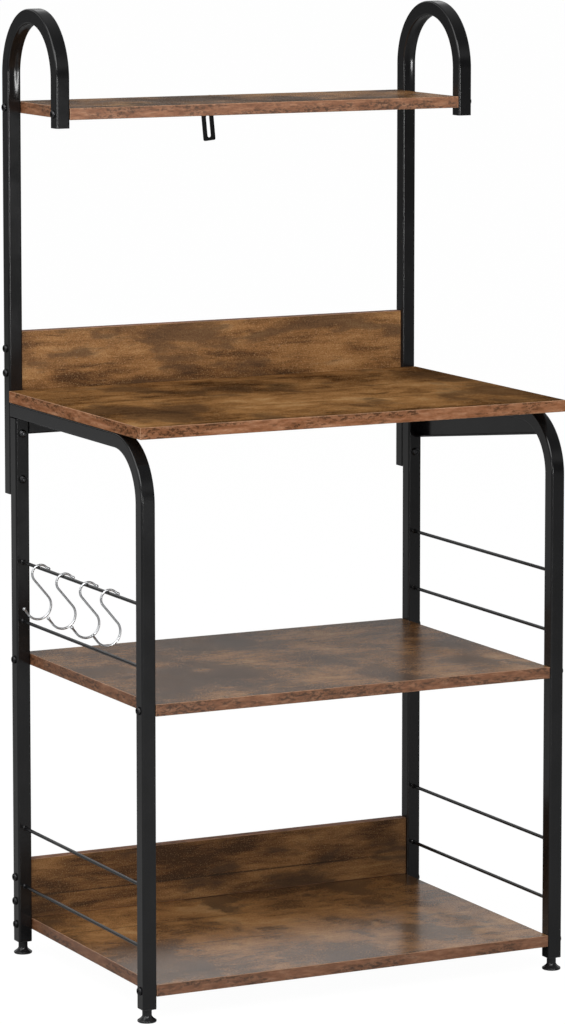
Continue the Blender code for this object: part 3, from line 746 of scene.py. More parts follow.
@dataclass(frozen=True)
class RusticBoard(Finish):
    """Particle board faced with printed timber paper and edged with a flecked band."""

    seed: float = 0.0
    broad: BroadFace = BroadFace.UP
    blotch: tuple[float, float] = (0.062, 0.076)
    smoke: float = 0.85
    plank: float = 0.105
    # How bright the print and the band are on this board: partly their own tone, partly painted light and
    # shade for how the board is lit.
    bright: float = 1.0
    band_bright: float = 1.0
    roughness: float = 0.17
    specular: float = 0.5
    edge_dulling: float = 0.20
    smudge_dulling: float = 0.05
    band_shift: float = 3.0
    broad_from: float = 0.9
    arris_from: float = 0.97
    arris_full: float = 0.90
    arris_share: float = 0.42
    relief: float = 0.00004

    def build(self, effects: Effects) -> bpy.types.Material:
        """Wires the board's material.

        Args:
            effects: the shared node groups.

        Returns:
            The material.
        """
        material, sheet, shader = self.start()
        place = sheet.place()
        x, y, z = sheet.parts(place)
        across = y if self.broad is BroadFace.UP else z
        flat = sheet.joined(x, across, 0.0)
        patch = sheet.scaled(flat, (1 / self.blotch[0], 1 / self.blotch[1], 0.0))
        paper = sheet.group(effects.paper, Place=flat, Patch=patch, Seed=self.seed,
                            Smoke=self.smoke, Plank=self.plank, Bright=self.bright)
        normal = sheet.node("TexCoord").outputs["Normal"]
        nx, ny, nz = (sheet.math("ABSOLUTE", part) for part in sheet.parts(normal))
        is_broad = sheet.math("GREATER_THAN", nz if self.broad is BroadFace.UP else ny,
                              self.broad_from)
        along = sheet.plus(x, across)
        thick = z if self.broad is BroadFace.UP else y
        band = sheet.group(effects.band, Place=sheet.joined(along, thick, 0.0),
                           Seed=self.seed + self.band_shift, Bright=self.band_bright)
        steepest = sheet.math("MAXIMUM", sheet.math("MAXIMUM", nx, ny), nz)
        # The chamfered arrises get a pale colour: a painted highlight standing in for light catching the
        # chamfer.
        arris = sheet.span(steepest, self.arris_from, self.arris_full)
        colour = sheet.blend(is_broad, band.outputs["Colour"], paper.outputs["Colour"])
        colour = sheet.blend(sheet.times(arris, self.arris_share), colour, BAND_INKS.arris)
        marks = sheet.group(effects.handling, Place=place, Seed=self.seed)
        rough = sheet.plus(self.roughness, paper.outputs["Gloss"])
        rough = sheet.plus(rough, sheet.times(marks.outputs["Smudge"], self.smudge_dulling))
        is_edge = sheet.minus(1.0, is_broad)
        rough = sheet.plus(rough, sheet.times(is_edge, self.edge_dulling))
        relief = sheet.node("Mix", {"data_type": "FLOAT"})
        sheet.feed(relief.inputs[0], is_broad)
        sheet.feed(relief.inputs[2], band.outputs["Relief"])
        sheet.feed(relief.inputs[3], paper.outputs["Relief"])
        self.wire(sheet, shader, colour, rough, relief.outputs[0])
        self.settle(shader, Specular_IOR_Level=self.specular)
        return material


@dataclass(frozen=True)
class MouldedPlastic(SkinnedFinish):
    """Glossy black moulded plastic with a faint matt cast and fine moulding skin."""

    black: Colour = (0.011, 0.011, 0.012)
    dusty: Colour = (0.0176, 0.0176, 0.0192)
    roughness: float = 0.16
    size: float = 1.6
    relief: float = 0.000012
    grit: float = 0.15
    marks_seed: float = 4.0
    smudge_dulling: float = 0.10
    index: float = 1.5

    def build(self, effects: Effects) -> bpy.types.Material:
        """Wires the plastic's material.

        Args:
            effects: the shared node groups.

        Returns:
            The material.
        """
        material, sheet, shader = self.start()
        skin, marks = self.skin_and_marks(effects, sheet)
        smudge = marks.outputs["Smudge"]
        rough = sheet.plus(self.roughness, sheet.times(smudge, self.smudge_dulling))
        colour = sheet.blend(smudge, self.black, self.dusty)
        self.wire(sheet, shader, colour, rough, skin.outputs["Relief"])
        self.settle(shader, IOR=self.index)
        return material


@dataclass(frozen=True)
class Metal(SkinnedFinish):
    """Bare or plated metal, with its tint, its gloss and how much handling shows."""

    tint: Colour = (0.55, 0.55, 0.54)
    dull: Colour = (0.35, 0.35, 0.34)
    roughness: float = 0.25
    grit: float = 0.5
    marks_seed: float = 7.0
    smudge_dulling: float = 0.12

    def build(self, effects: Effects) -> bpy.types.Material:
        """Wires the metal's material.

        Args:
            effects: the shared node groups.

        Returns:
            The material.
        """
        material, sheet, shader = self.start()
        skin, marks = self.skin_and_marks(effects, sheet)
        smudge = marks.outputs["Smudge"]
        colour = sheet.blend(smudge, self.tint, self.dull)
        rough = sheet.plus(self.roughness, sheet.times(smudge, self.smudge_dulling))
        self.wire(sheet, shader, colour, rough, skin.outputs["Relief"])
        self.settle(shader, Metallic=1.0)
        return material


@dataclass
class Palette:
    """Every finish of the rack, built once."""

    effects: Effects = field(default_factory=Effects)
    plastic: bpy.types.Material = field(init=False)
    plug: bpy.types.Material = field(init=False)
    bolt: bpy.types.Material = field(init=False)
    zinc: bpy.types.Material = field(init=False)
    chrome: bpy.types.Material = field(init=False)
    coats: dict[str, bpy.types.Material] = field(default_factory=dict)
    boards: dict[str, bpy.types.Material] = field(default_factory=dict)

    def __post_init__(self) -> None:
        """Builds the finishes that the whole rack shares."""
        self.plastic = MouldedPlastic("black_foot_plastic").build(self.effects)
        self.plug = MouldedPlastic("black_plug_plastic", roughness=0.34, size=0.8).build(self.effects)
        self.bolt = Metal("blackened_bolt_steel", tint=(0.060, 0.060, 0.062), dull=(0.030, 0.030, 0.031),
                          roughness=0.24).build(self.effects)
        self.zinc = Metal("zinc_plated_steel", tint=(0.62, 0.62, 0.60), dull=(0.42, 0.43, 0.42),
                          roughness=0.26, size=0.6).build(self.effects)
        self.chrome = Metal("bright_chrome", tint=(0.72, 0.735, 0.75), dull=(0.62, 0.635, 0.65),
                            roughness=0.29, smudge_dulling=0.04, relief=0.0000006).build(self.effects)

    def coat(self, name: str, seed: float) -> bpy.types.Material:
        """Gives the powder coat of one welded piece, with its own marks.

        Args:
            name: the material's name.
            seed: where its marks are read.

        Returns:
            The material, the same one for the same name.
        """
        if name not in self.coats:
            self.coats[name] = PowderCoat(name, marks_seed=seed).build(self.effects)
        return self.coats[name]

    def board(self, finish: RusticBoard) -> bpy.types.Material:
        """Gives the finish of one board.

        Args:
            finish: what the board is faced with.

        Returns:
            The material, the same one for the same name.
        """
        if finish.name not in self.boards:
            self.boards[finish.name] = finish.build(self.effects)
        return self.boards[finish.name]


# Shapes


@dataclass(frozen=True)
class Station:
    """One place along a tube's middle line, its section's first axis there and its inner wall's dish."""

    centre: Vector
    across: Vector
    dish: float = 0.0


@dataclass(frozen=True)
class SectionPoint:
    """A point of a tube's section, the way that its surface faces and its share and slope of the dish."""

    place: tuple[float, float]
    facing: tuple[float, float]
    share: float = 0.0
    slope: float = 0.0

    def at(self, dish: float) -> tuple[float, float]:
        """Gives the point's place where the inner wall is dished by a depth."""
        return self.place[0] + dish * self.share, self.place[1]

    def facing_at(self, dish: float) -> Vector:
        """Gives the point's facing where the inner wall is dished by a depth."""
        return Vector((self.facing[0], self.facing[1] + dish * self.slope)).normalized()


def rounded_section(width: float, depth: float, radius: float, steps: int,
                    wall_steps: int = 0) -> list[SectionPoint]:
    """Gives the outline of a rectangle with round corners, anticlockwise.

    Args:
        width: size along the section's first axis.
        depth: size along its second axis.
        radius: radius of the corners.
        steps: how many faces turn each corner.
        wall_steps: how many faces cross the wall on the first axis' negative side, which a bend
            may dish.

    Returns:
        The points with their exact facings, so that flats shade flat up to their corners.
    """
    points = []
    for turn, (sign_x, sign_y) in enumerate(((1, 1), (-1, 1), (-1, -1), (1, -1))):
        middle = (sign_x * (width / 2 - radius), sign_y * (depth / 2 - radius))
        for step in range(steps + 1):
            angle = turn * QUARTER + QUARTER * step / steps
            facing = (math.cos(angle), math.sin(angle))
            place = (middle[0] + radius * facing[0], middle[1] + radius * facing[1])
            points.append(SectionPoint(place, facing))
        if turn == 1:
            half = depth / 2 - radius
            for step in range(1, wall_steps):
                along = half * (1 - 2 * step / wall_steps)
                share = math.cos(along / half * QUARTER) ** 2
                slope = -math.sin(along / half * math.pi) * QUARTER / half
                points.append(SectionPoint((-width / 2, along), (-1.0, 0.0), share, slope))
    return points


def eased(share: float) -> float:
    """Gives a share from 0 to 1 with soft ends."""
    return share * share * (3 - 2 * share)


def arc_stations(x: float, centre: tuple[float, float], radius: float, start: float, end: float,
                 steps: int, dish: float = 0.0) -> list[Station]:
    """Gives stations along an arc in the side view plane at x, with across pointing out of the bend.

    Args:
        x: the plane's place.
        centre: the arc's centre, as (y, z).
        radius: the middle line's radius.
        start: the angle of the first station.
        end: the angle of the last one.
        steps: how many stretches the arc has.
        dish: how deep the bend draws the inner wall in.

    Returns:
        The stations, the dish a little shallower towards both ends of the bend.
    """
    made = []
    for step in range(steps + 1):
        share = step / steps
        angle = start + (end - start) * share
        out = Vector((0.0, math.cos(angle), math.sin(angle)))
        fade = min(1.0, min(share, 1 - share) * abs(end - start) / DISH_FADE)
        depth = dish * (DISH_END_SHARE + (1 - DISH_END_SHARE) * eased(fade))
        made.append(Station(Vector((x, centre[0], centre[1])) + out * radius, out, depth))
    return made


def run_out(station: Station, along: Vector, length: float, steps: int) -> list[Station]:
    """Carries a bend's dish on into the straight tube, fading to nothing.

    Args:
        station: the bend's last station.
        along: the way that the straight tube goes.
        length: how far the dish reaches.
        steps: how many stretches it has.

    Returns:
        The stations beyond the bend.
    """
    made = []
    for step in range(1, steps + 1):
        share = step / steps
        dish = station.dish * eased(1 - share)
        made.append(Station(station.centre + along * (length * share), station.across, dish))
    return made


def mesh_with_facings(name: str, points: Sequence[Vector], faces: Sequence[tuple[int, ...]],
                      facings: Sequence[Sequence[Vector] | None]) -> bpy.types.Mesh:
    """Makes a closed mesh whose points shade by given facings.

    Args:
        name: the mesh's name.
        points: its points.
        faces: the points' numbers round each face.
        facings: for each face, None where it is flat, or the facings at its corners.

    Returns:
        The mesh.
    """
    mesh = bpy.data.meshes.new(name)
    mesh.from_pydata([tuple(point) for point in points], [], faces)
    mesh.update()
    corners = []
    for polygon, given in zip(mesh.polygons, facings):
        polygon.use_smooth = True
        shown = given or [polygon.normal] * len(polygon.vertices)
        corners += [tuple(facing) for facing in shown]
    mesh.normals_split_custom_set(corners)
    return mesh


def swept_tube(name: str, stations: Sequence[Station], side: Vector, outer: Sequence[SectionPoint],
               inner: Sequence[SectionPoint] = ()) -> bpy.types.Mesh:
    """Sweeps a section along stations into a closed bar, or into a hollow tube with open ends.

    Args:
        name: the mesh's name.
        stations: the places along the middle line.
        side: the section's second axis, the same all along.
        outer: the outer section.
        inner: the bore's section, with as many points as the outer one; none for a solid bar.

    Returns:
        The mesh.
    """
    points: list[Vector] = []
    outward: list[Vector] = []
    skins = [(outer, 1)] + ([(inner, -1)] if inner else [])
    for section, sign in skins:
        for station in stations:
            for row in section:
                first, second = row.at(station.dish)
                facing = row.facing_at(station.dish)
                points.append(station.centre + station.across * first + side * second)
                outward.append((station.across * facing[0] + side * facing[1]) * sign)
    count = len(outer)
    shift = count * len(stations)
    faces: list[tuple[int, ...]] = []
    facings: list[list[Vector] | None] = []
    for skin, (_, sign) in enumerate(skins):
        for ring in range(len(stations) - 1):
            for place in range(count):
                a = skin * shift + ring * count + place
                b = skin * shift + ring * count + (place + 1) % count
                face = (a, b, b + count, a + count)
                face = face if sign > 0 else face[::-1]
                faces.append(face)
                facings.append([outward[index] for index in face])
    last = count * (len(stations) - 1)
    if inner:
        for place in range(count):
            after = (place + 1) % count
            faces.append((place, shift + place, shift + after, after))
            faces.append((last + place, last + after, shift + last + after, shift + last + place))
            facings += [None, None]
    else:
        faces.append(tuple(reversed(range(count))))
        faces.append(tuple(last + place for place in range(count)))
        facings += [None, None]
    return mesh_with_facings(name, points, faces, facings)


def poled_mesh(name: str, points: Sequence[Vector], sides: int, rising: bool = False) -> bpy.types.Mesh:
    """Makes a closed mesh of rings between two poles.

    Args:
        name: the mesh's name.
        points: the first pole, the rings' points in order and the last pole.
        sides: how many points each ring has.
        rising: whether the rings follow each other up their axis and not down it.

    Returns:
        The mesh.
    """
    last = len(points) - 1
    rings = (last - 1) // sides
    faces: list[tuple[int, ...]] = []
    for step in range(sides):
        after = (step + 1) % sides
        faces.append((0, 1 + step, 1 + after))
        for ring in range(rings - 1):
            a, b = 1 + ring * sides + step, 1 + ring * sides + after
            faces.append((a, a + sides, b + sides, b))
        low = 1 + (rings - 1) * sides
        faces.append((low + after, low + step, last))
    if rising:
        faces = [face[:1] + face[:0:-1] for face in faces]
    mesh = bpy.data.meshes.new(name)
    mesh.from_pydata([tuple(point) for point in points], [], faces)
    mesh.update()
    return mesh


def on_circle(radius: float, share: float, height: float) -> Vector:
    """Gives the point of a level circle about z at a share of its turn."""
    return Vector((radius * math.cos(TURN * share), radius * math.sin(TURN * share), height))


def lathe(name: str, profile: Sequence[tuple[float, float]], sides: int) -> bpy.types.Mesh:
    """Turns a profile of (radius, height) points about z into a closed mesh.

    Args:
        name: the mesh's name.
        profile: points down the outer side, the first and the last on the axis.
        sides: how many faces go round.

    Returns:
        The mesh, smooth where neighbouring faces meet at a low angle.
    """
    points = [Vector((0.0, 0.0, profile[0][1]))]
    for radius, height in profile[1:-1]:
        points += [on_circle(radius, step / sides, height) for step in range(sides)]
    points.append(Vector((0.0, 0.0, profile[-1][1])))
    mesh = poled_mesh(name, points, sides)
    smooth(mesh)
    return mesh


def smooth(mesh: bpy.types.Mesh, angle: float = SMOOTH_ANGLE) -> None:
    """Smooths a mesh's shading except over edges sharper than the angle."""
    mesh.shade_smooth()
    mesh.set_sharp_from_angle(angle=angle)


def standing(position: Vector, direction: Vector) -> Matrix:
    """Gives the placement that stands local z along a direction."""
    return Matrix.Translation(position) @ direction.to_track_quat("Z", "Y").to_matrix().to_4x4()


def face_out(mesh: bpy.types.Mesh) -> bpy.types.Mesh:
    """Makes every face of a mesh face out.

    Args:
        mesh: the mesh, which is changed.

    Returns:
        The same mesh.
    """
    shape = bmesh.new()
    shape.from_mesh(mesh)
    bmesh.ops.recalc_face_normals(shape, faces=shape.faces)
    shape.to_mesh(mesh)
    shape.free()
    return mesh


@dataclass
class Workshop:
    """Adds finished pieces to the scene, in the rack's own frame, and keeps count of them."""

    palette: Palette
    made: list[str] = field(default_factory=list)

    def add(self, name: str, mesh: bpy.types.Mesh, material: bpy.types.Material, slot: Slot,
            body: str = RACK_BODY, placement: Matrix | None = None,
            replaces: str | None = None) -> bpy.types.Object:
        """Adds a piece.

        Args:
            name: the piece's name.
            mesh: its mesh.
            material: its finish.
            slot: the record's slot that the finish stands for; not used.
            body: the CAD body that it moves with.
            placement: its place in the rack's own frame.
            replaces: the CAD node that it stands for, if any.

        Returns:
            The new object.
        """
        mesh.transform(Matrix.Translation(ORIGIN) @ (placement or Matrix.Identity(4)))
        mesh.materials.clear()
        mesh.materials.append(material)
        piece = bpy.data.objects.new(name, mesh)
        bpy.context.scene.collection.objects.link(piece)
        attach(piece, body)
        if replaces:
            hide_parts(replaces)
        self.made.append(name)
        LOG.info("made %s on %s", name, body)
        return piece

    def dress(self, node: str, material: bpy.types.Material) -> None:
        """Gives a CAD node that stays its finish.

        Args:
            node: the node's name.
            material: its finish.
        """
        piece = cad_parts[node]
        for slot in piece.material_slots:
            slot.material = material
        LOG.info("dressed %s", node)


# Sub-assemblies


@dataclass
class SideFrame:
    """One side frame: bent front tube, rear post with its rods, arched upright, welds and end plugs."""

    side: Side
    corner_steps: int = 6
    wall_steps: int = 12
    bend_steps: int = 40
    arch_steps: int = 80
    rod_sides: int = 24
    bend_dish: float = 0.0009
    arch_dish: float = 0.0010
    dish_run: float = 0.040
    dish_steps: int = 8
    rod_bite: float = 0.0006
    weld_height: float = 0.0016
    weld_spread: float = 0.0013
    weld_lift: float = 0.0001
    weld_root: float = 0.0004
    weld_core_share: float = 0.9
    weld_steps: int = 6
    # The unevenness of a weld's edge: waves round it, their size and their turn
    weld_waves: tuple[tuple[int, float, float], ...] = ((3, 0.14, 0.6), (7, 0.06, 0.0))
    # A plug's outline: heights above its face and insets from its side
    plug_rows: tuple[tuple[float, float], ...] = ((0.0, 0.003), (0.0004, 0.0008), (0.0012, 0.0), (0.01, 0.0))
    plug_slack: float = 0.0002
    plug_corner: float = 0.0011
    plug_angle: float = math.radians(50)
    seed_step: float = 2.5

    @property
    def x(self) -> float:
        """The x of this frame's middle plane."""
        return self.side.value * SIZES.tube_x

    def sections(self) -> tuple[list[SectionPoint], list[SectionPoint]]:
        """Makes the square tube's two outlines.

        Returns:
            The outer section and the bore's section.
        """
        bore = SIZES.tube - 2 * SIZES.wall
        steps = (self.corner_steps, self.wall_steps)
        outer = rounded_section(SIZES.tube, SIZES.tube, SIZES.corner, *steps)
        inner = rounded_section(bore, bore, SIZES.corner - SIZES.wall, *steps)
        return outer, inner

    def front_tube(self) -> bpy.types.Mesh:
        """Makes the front post that bends back into the rail under the worktop.

        Returns:
            The mesh.
        """
        radius = SIZES.bend_radius - SIZES.tube / 2
        rail = SIZES.rail_top - SIZES.tube / 2
        centre = (SIZES.front_post_y + radius, rail - radius)
        bend = arc_stations(self.x, centre, radius, math.pi, QUARTER, self.bend_steps, self.bend_dish)
        low = run_out(bend[0], Vector((0, 0, -1)), self.dish_run, self.dish_steps)
        far = run_out(bend[-1], Vector((0, 1, 0)), self.dish_run, self.dish_steps)
        foot = Station(Vector((self.x, SIZES.front_post_y, SIZES.post_bottom)), Vector((0, -1, 0)))
        rear = Station(Vector((self.x, 0.0, rail)), Vector((0, 0, 1)))
        stations = [foot, *reversed(low), *bend, *far, rear]
        return swept_tube("front_tube", stations, Vector((1, 0, 0)), *self.sections())

    def rear_post(self) -> bpy.types.Mesh:
        """Makes the rear post.

        Returns:
            The mesh.
        """
        y = -SIZES.tube / 2
        top = SIZES.rail_top - SIZES.tube - SIZES.gap
        ends = [Station(Vector((self.x, y, z)), Vector((0, -1, 0))) for z in (SIZES.post_bottom, top)]
        return swept_tube("rear_post", ends, Vector((1, 0, 0)), *self.sections())

    def upright(self) -> bpy.types.Mesh:
        """Makes the upright that arches forward into its short front leg.

        Returns:
            The mesh.
        """
        radius = (SIZES.arch_reach - SIZES.tube) / 2
        centre = (SIZES.upright_y - radius, SIZES.arch_top - SIZES.tube / 2 - radius)
        bend = arc_stations(self.x, centre, radius, 0.0, math.pi, self.arch_steps, self.arch_dish)
        down = Vector((0, 0, -1))
        rear_run = run_out(bend[0], down, self.dish_run, self.dish_steps)
        leg_run = run_out(bend[-1], down, self.dish_run, self.dish_steps)
        low = Station(Vector((self.x, SIZES.upright_y, SIZES.upright_bottom)), Vector((0, 1, 0)))
        leg_y = SIZES.upright_y - 2 * radius
        leg = Station(Vector((self.x, leg_y, SIZES.arch_leg_bottom)), Vector((0, -1, 0)))
        stations = [low, *reversed(rear_run), *bend, *leg_run, leg]
        return swept_tube("upright", stations, Vector((-1, 0, 0)), *self.sections())

    def rod_heights(self) -> list[float]:
        """Gives the heights of the four rods."""
        first = [SIZES.middle_height + SIZES.first_rod, SIZES.bottom_height + SIZES.first_rod]
        return [height + rise for height in first for rise in (0.0, SIZES.rod_spacing)]

    def rod(self, length: float) -> bpy.types.Mesh:
        """Makes a rod that hangs down local z from its end at 0."""
        radius = SIZES.rod / 2
        return lathe("rod", [(0, 0), (radius, 0), (radius, -length), (0, -length)], self.rod_sides)

    def weld(self) -> bpy.types.Mesh:
        """Makes the fillet round a rod's end, on the plane z = 0 with an uneven edge.

        Returns:
            The mesh.
        """
        radius = SIZES.rod / 2
        profile = [(0.0, self.weld_height), (radius * self.weld_core_share, self.weld_height)]
        for step in range(self.weld_steps + 1):
            share = step / self.weld_steps
            hollow = 1 - math.sin(share * QUARTER)
            profile.append((radius + self.weld_spread * share, self.weld_height * hollow + self.weld_lift))
        profile += [(radius + self.weld_spread, -self.weld_root), (0.0, -self.weld_root)]
        mesh = lathe("weld", profile, self.rod_sides)
        for vertex in mesh.vertices:
            angle = math.atan2(vertex.co.y, vertex.co.x)
            reach = math.hypot(vertex.co.x, vertex.co.y)
            wobble = 1 + sum(size * math.sin(angle * waves + turn) for waves, size, turn in self.weld_waves)
            if reach > radius:
                grown = radius + (reach - radius) * wobble
                vertex.co.x *= grown / reach
                vertex.co.y *= grown / reach
        return mesh

    def plug(self) -> bpy.types.Mesh:
        """Makes a moulded end plug: its face just under z = 0, its body up in the tube.

        Returns:
            The mesh.
        """
        bore = SIZES.tube - 2 * SIZES.wall
        side = bore - self.plug_slack
        outline = rounded_section(side, side, self.plug_corner, self.corner_steps)
        points: list[Vector] = []
        for height, inset in self.plug_rows:
            share = 1 - 2 * inset / bore
            points += [Vector((p.place[0] * share, p.place[1] * share, height)) for p in outline]
        count = len(outline)
        rings = len(self.plug_rows) - 1
        faces: list[tuple[int, ...]] = [tuple(reversed(range(count)))]
        for ring in range(rings):
            for place in range(count):
                a, b = ring * count + place, ring * count + (place + 1) % count
                faces.append((a, b, b + count, a + count))
        faces.append(tuple(rings * count + place for place in range(count)))
        mesh = bpy.data.meshes.new("plug")
        mesh.from_pydata([tuple(point) for point in points], [], faces)
        mesh.update()
        smooth(mesh, self.plug_angle)
        return mesh

    def build(self, shop: Workshop) -> None:
        """Builds and dresses this side frame.

        Args:
            shop: where the pieces are added.
        """
        word = self.side.word
        coat: dict[str, bpy.types.Material] = {}
        for index, (part, piece, mesh, node) in enumerate((
                ("front", "front_post_and_rail", self.front_tube(), "front_tube"),
                ("rear", "rear_post_tube", self.rear_post(), "rear_post"),
                ("arch", "arch_tube", self.upright(), "arched_upright"))):
            seed = index + self.side.value * self.seed_step
            coat[part] = shop.palette.coat(f"black_powder_coat_{word}_{part}", seed)
            shop.add(f"{word}_{piece}", mesh, coat[part], Slot.COAT, replaces=f"{word}_{node}")
        rear_face = -SIZES.tube
        front_face = SIZES.front_post_y + SIZES.tube / 2
        for number, height in enumerate(self.rod_heights(), start=1):
            start = Vector((self.x, rear_face + self.rod_bite, height))
            length = rear_face - front_face + 2 * self.rod_bite
            shop.add(f"{word}_rod_{number}", self.rod(length), coat["rear"], Slot.COAT,
                     placement=standing(start, Vector((0, 1, 0))))
            for end, y, way in (("rear", rear_face, -1), ("front", front_face, 1)):
                shop.add(f"{word}_rod_weld_{number}_{end}", self.weld(), coat[end], Slot.COAT,
                         placement=standing(Vector((self.x, y, height)), Vector((0, way, 0))))
        leg_y = SIZES.upright_y - (SIZES.arch_reach - SIZES.tube)
        for name, y, z in (("arch_leg", leg_y, SIZES.arch_leg_bottom),
                           ("upright", SIZES.upright_y, SIZES.upright_bottom)):
            place = Matrix.Translation((self.x, y, z))
            shop.add(f"{word}_{name}_plug", self.plug(), shop.palette.plug, Slot.PLASTIC, placement=place)


@dataclass
class Boards:
    """The worktop, the three shelves and the two back panels, which keep their CAD solids."""

    finishes: tuple[RusticBoard, ...] = (
        # bright and band_bright differ from board to board to paint light and shade. The lower back panel is
        # darkened as a painted shadow under the middle shelf, the edge bands go darker towards the bottom
        # shelf, and the other prints are lightened or dimmed to match how brightly each board is lit.
        RusticBoard("worktop_board", seed=1.3, blotch=(0.085, 0.125), smoke=0.66, plank=0.118, bright=0.68,
                    band_bright=1.08, roughness=0.34, specular=0.0),
        RusticBoard("middle_shelf_board", seed=5.9, blotch=(0.090, 0.115), smoke=0.70, plank=0.128,
                    bright=0.88, band_bright=0.88, roughness=0.18, specular=0.42),
        RusticBoard("bottom_shelf_board", seed=9.2, blotch=(0.090, 0.115), smoke=0.80, plank=0.121,
                    bright=0.92, band_bright=0.78, roughness=0.14),
        RusticBoard("top_shelf_board", seed=13.1, blotch=(0.085, 0.100), plank=0.112, bright=1.14,
                    band_bright=1.08, roughness=0.17),
        RusticBoard("upper_back_panel_board", seed=17.6, broad=BroadFace.BACK, blotch=(0.110, 0.040),
                    smoke=0.66, plank=0.13, bright=0.81, roughness=0.34, specular=0.2),
        RusticBoard("lower_back_panel_board", seed=21.4, broad=BroadFace.BACK, blotch=(0.110, 0.040),
                    smoke=0.8, plank=0.13, bright=0.64, roughness=0.34, specular=0.2),
    )

    def build(self, shop: Workshop) -> None:
        """Dresses the boards."""
        for finish in self.finishes:
            shop.dress(finish.name.removesuffix("_board"), shop.palette.board(finish))


@dataclass
class CrossPieces:
    """The rear cross rail under the worktop and the flanged plate of the right side frame."""

    rail_height: float = 0.040
    corner_steps: int = 6
    seed: float = 11.0

    def rail(self) -> bpy.types.Mesh:
        """Makes the rear cross rail.

        Returns:
            The mesh.
        """
        half = SIZES.frame_half - SIZES.tube - SIZES.gap
        z = SIZES.rail_top - self.rail_height / 2
        ends = [Station(Vector((x, -SIZES.tube / 2, z)), Vector((0, 0, 1))) for x in (-half, half)]
        bore = 2 * SIZES.wall
        outer = rounded_section(self.rail_height, SIZES.tube, SIZES.corner, self.corner_steps)
        inner = rounded_section(self.rail_height - bore, SIZES.tube - bore, SIZES.corner - SIZES.wall,
                                self.corner_steps)
        return swept_tube("rail", ends, Vector((0, -1, 0)), outer, inner)

    def build(self, shop: Workshop) -> None:
        """Builds the rail and dresses the plate.

        Args:
            shop: where the pieces are added.
        """
        coat = shop.palette.coat("black_powder_coat_cross", self.seed)
        shop.add("rear_rail_tube", self.rail(), coat, Slot.COAT, replaces="rear_cross_rail")
        shop.dress("right_gusset_plate", coat)


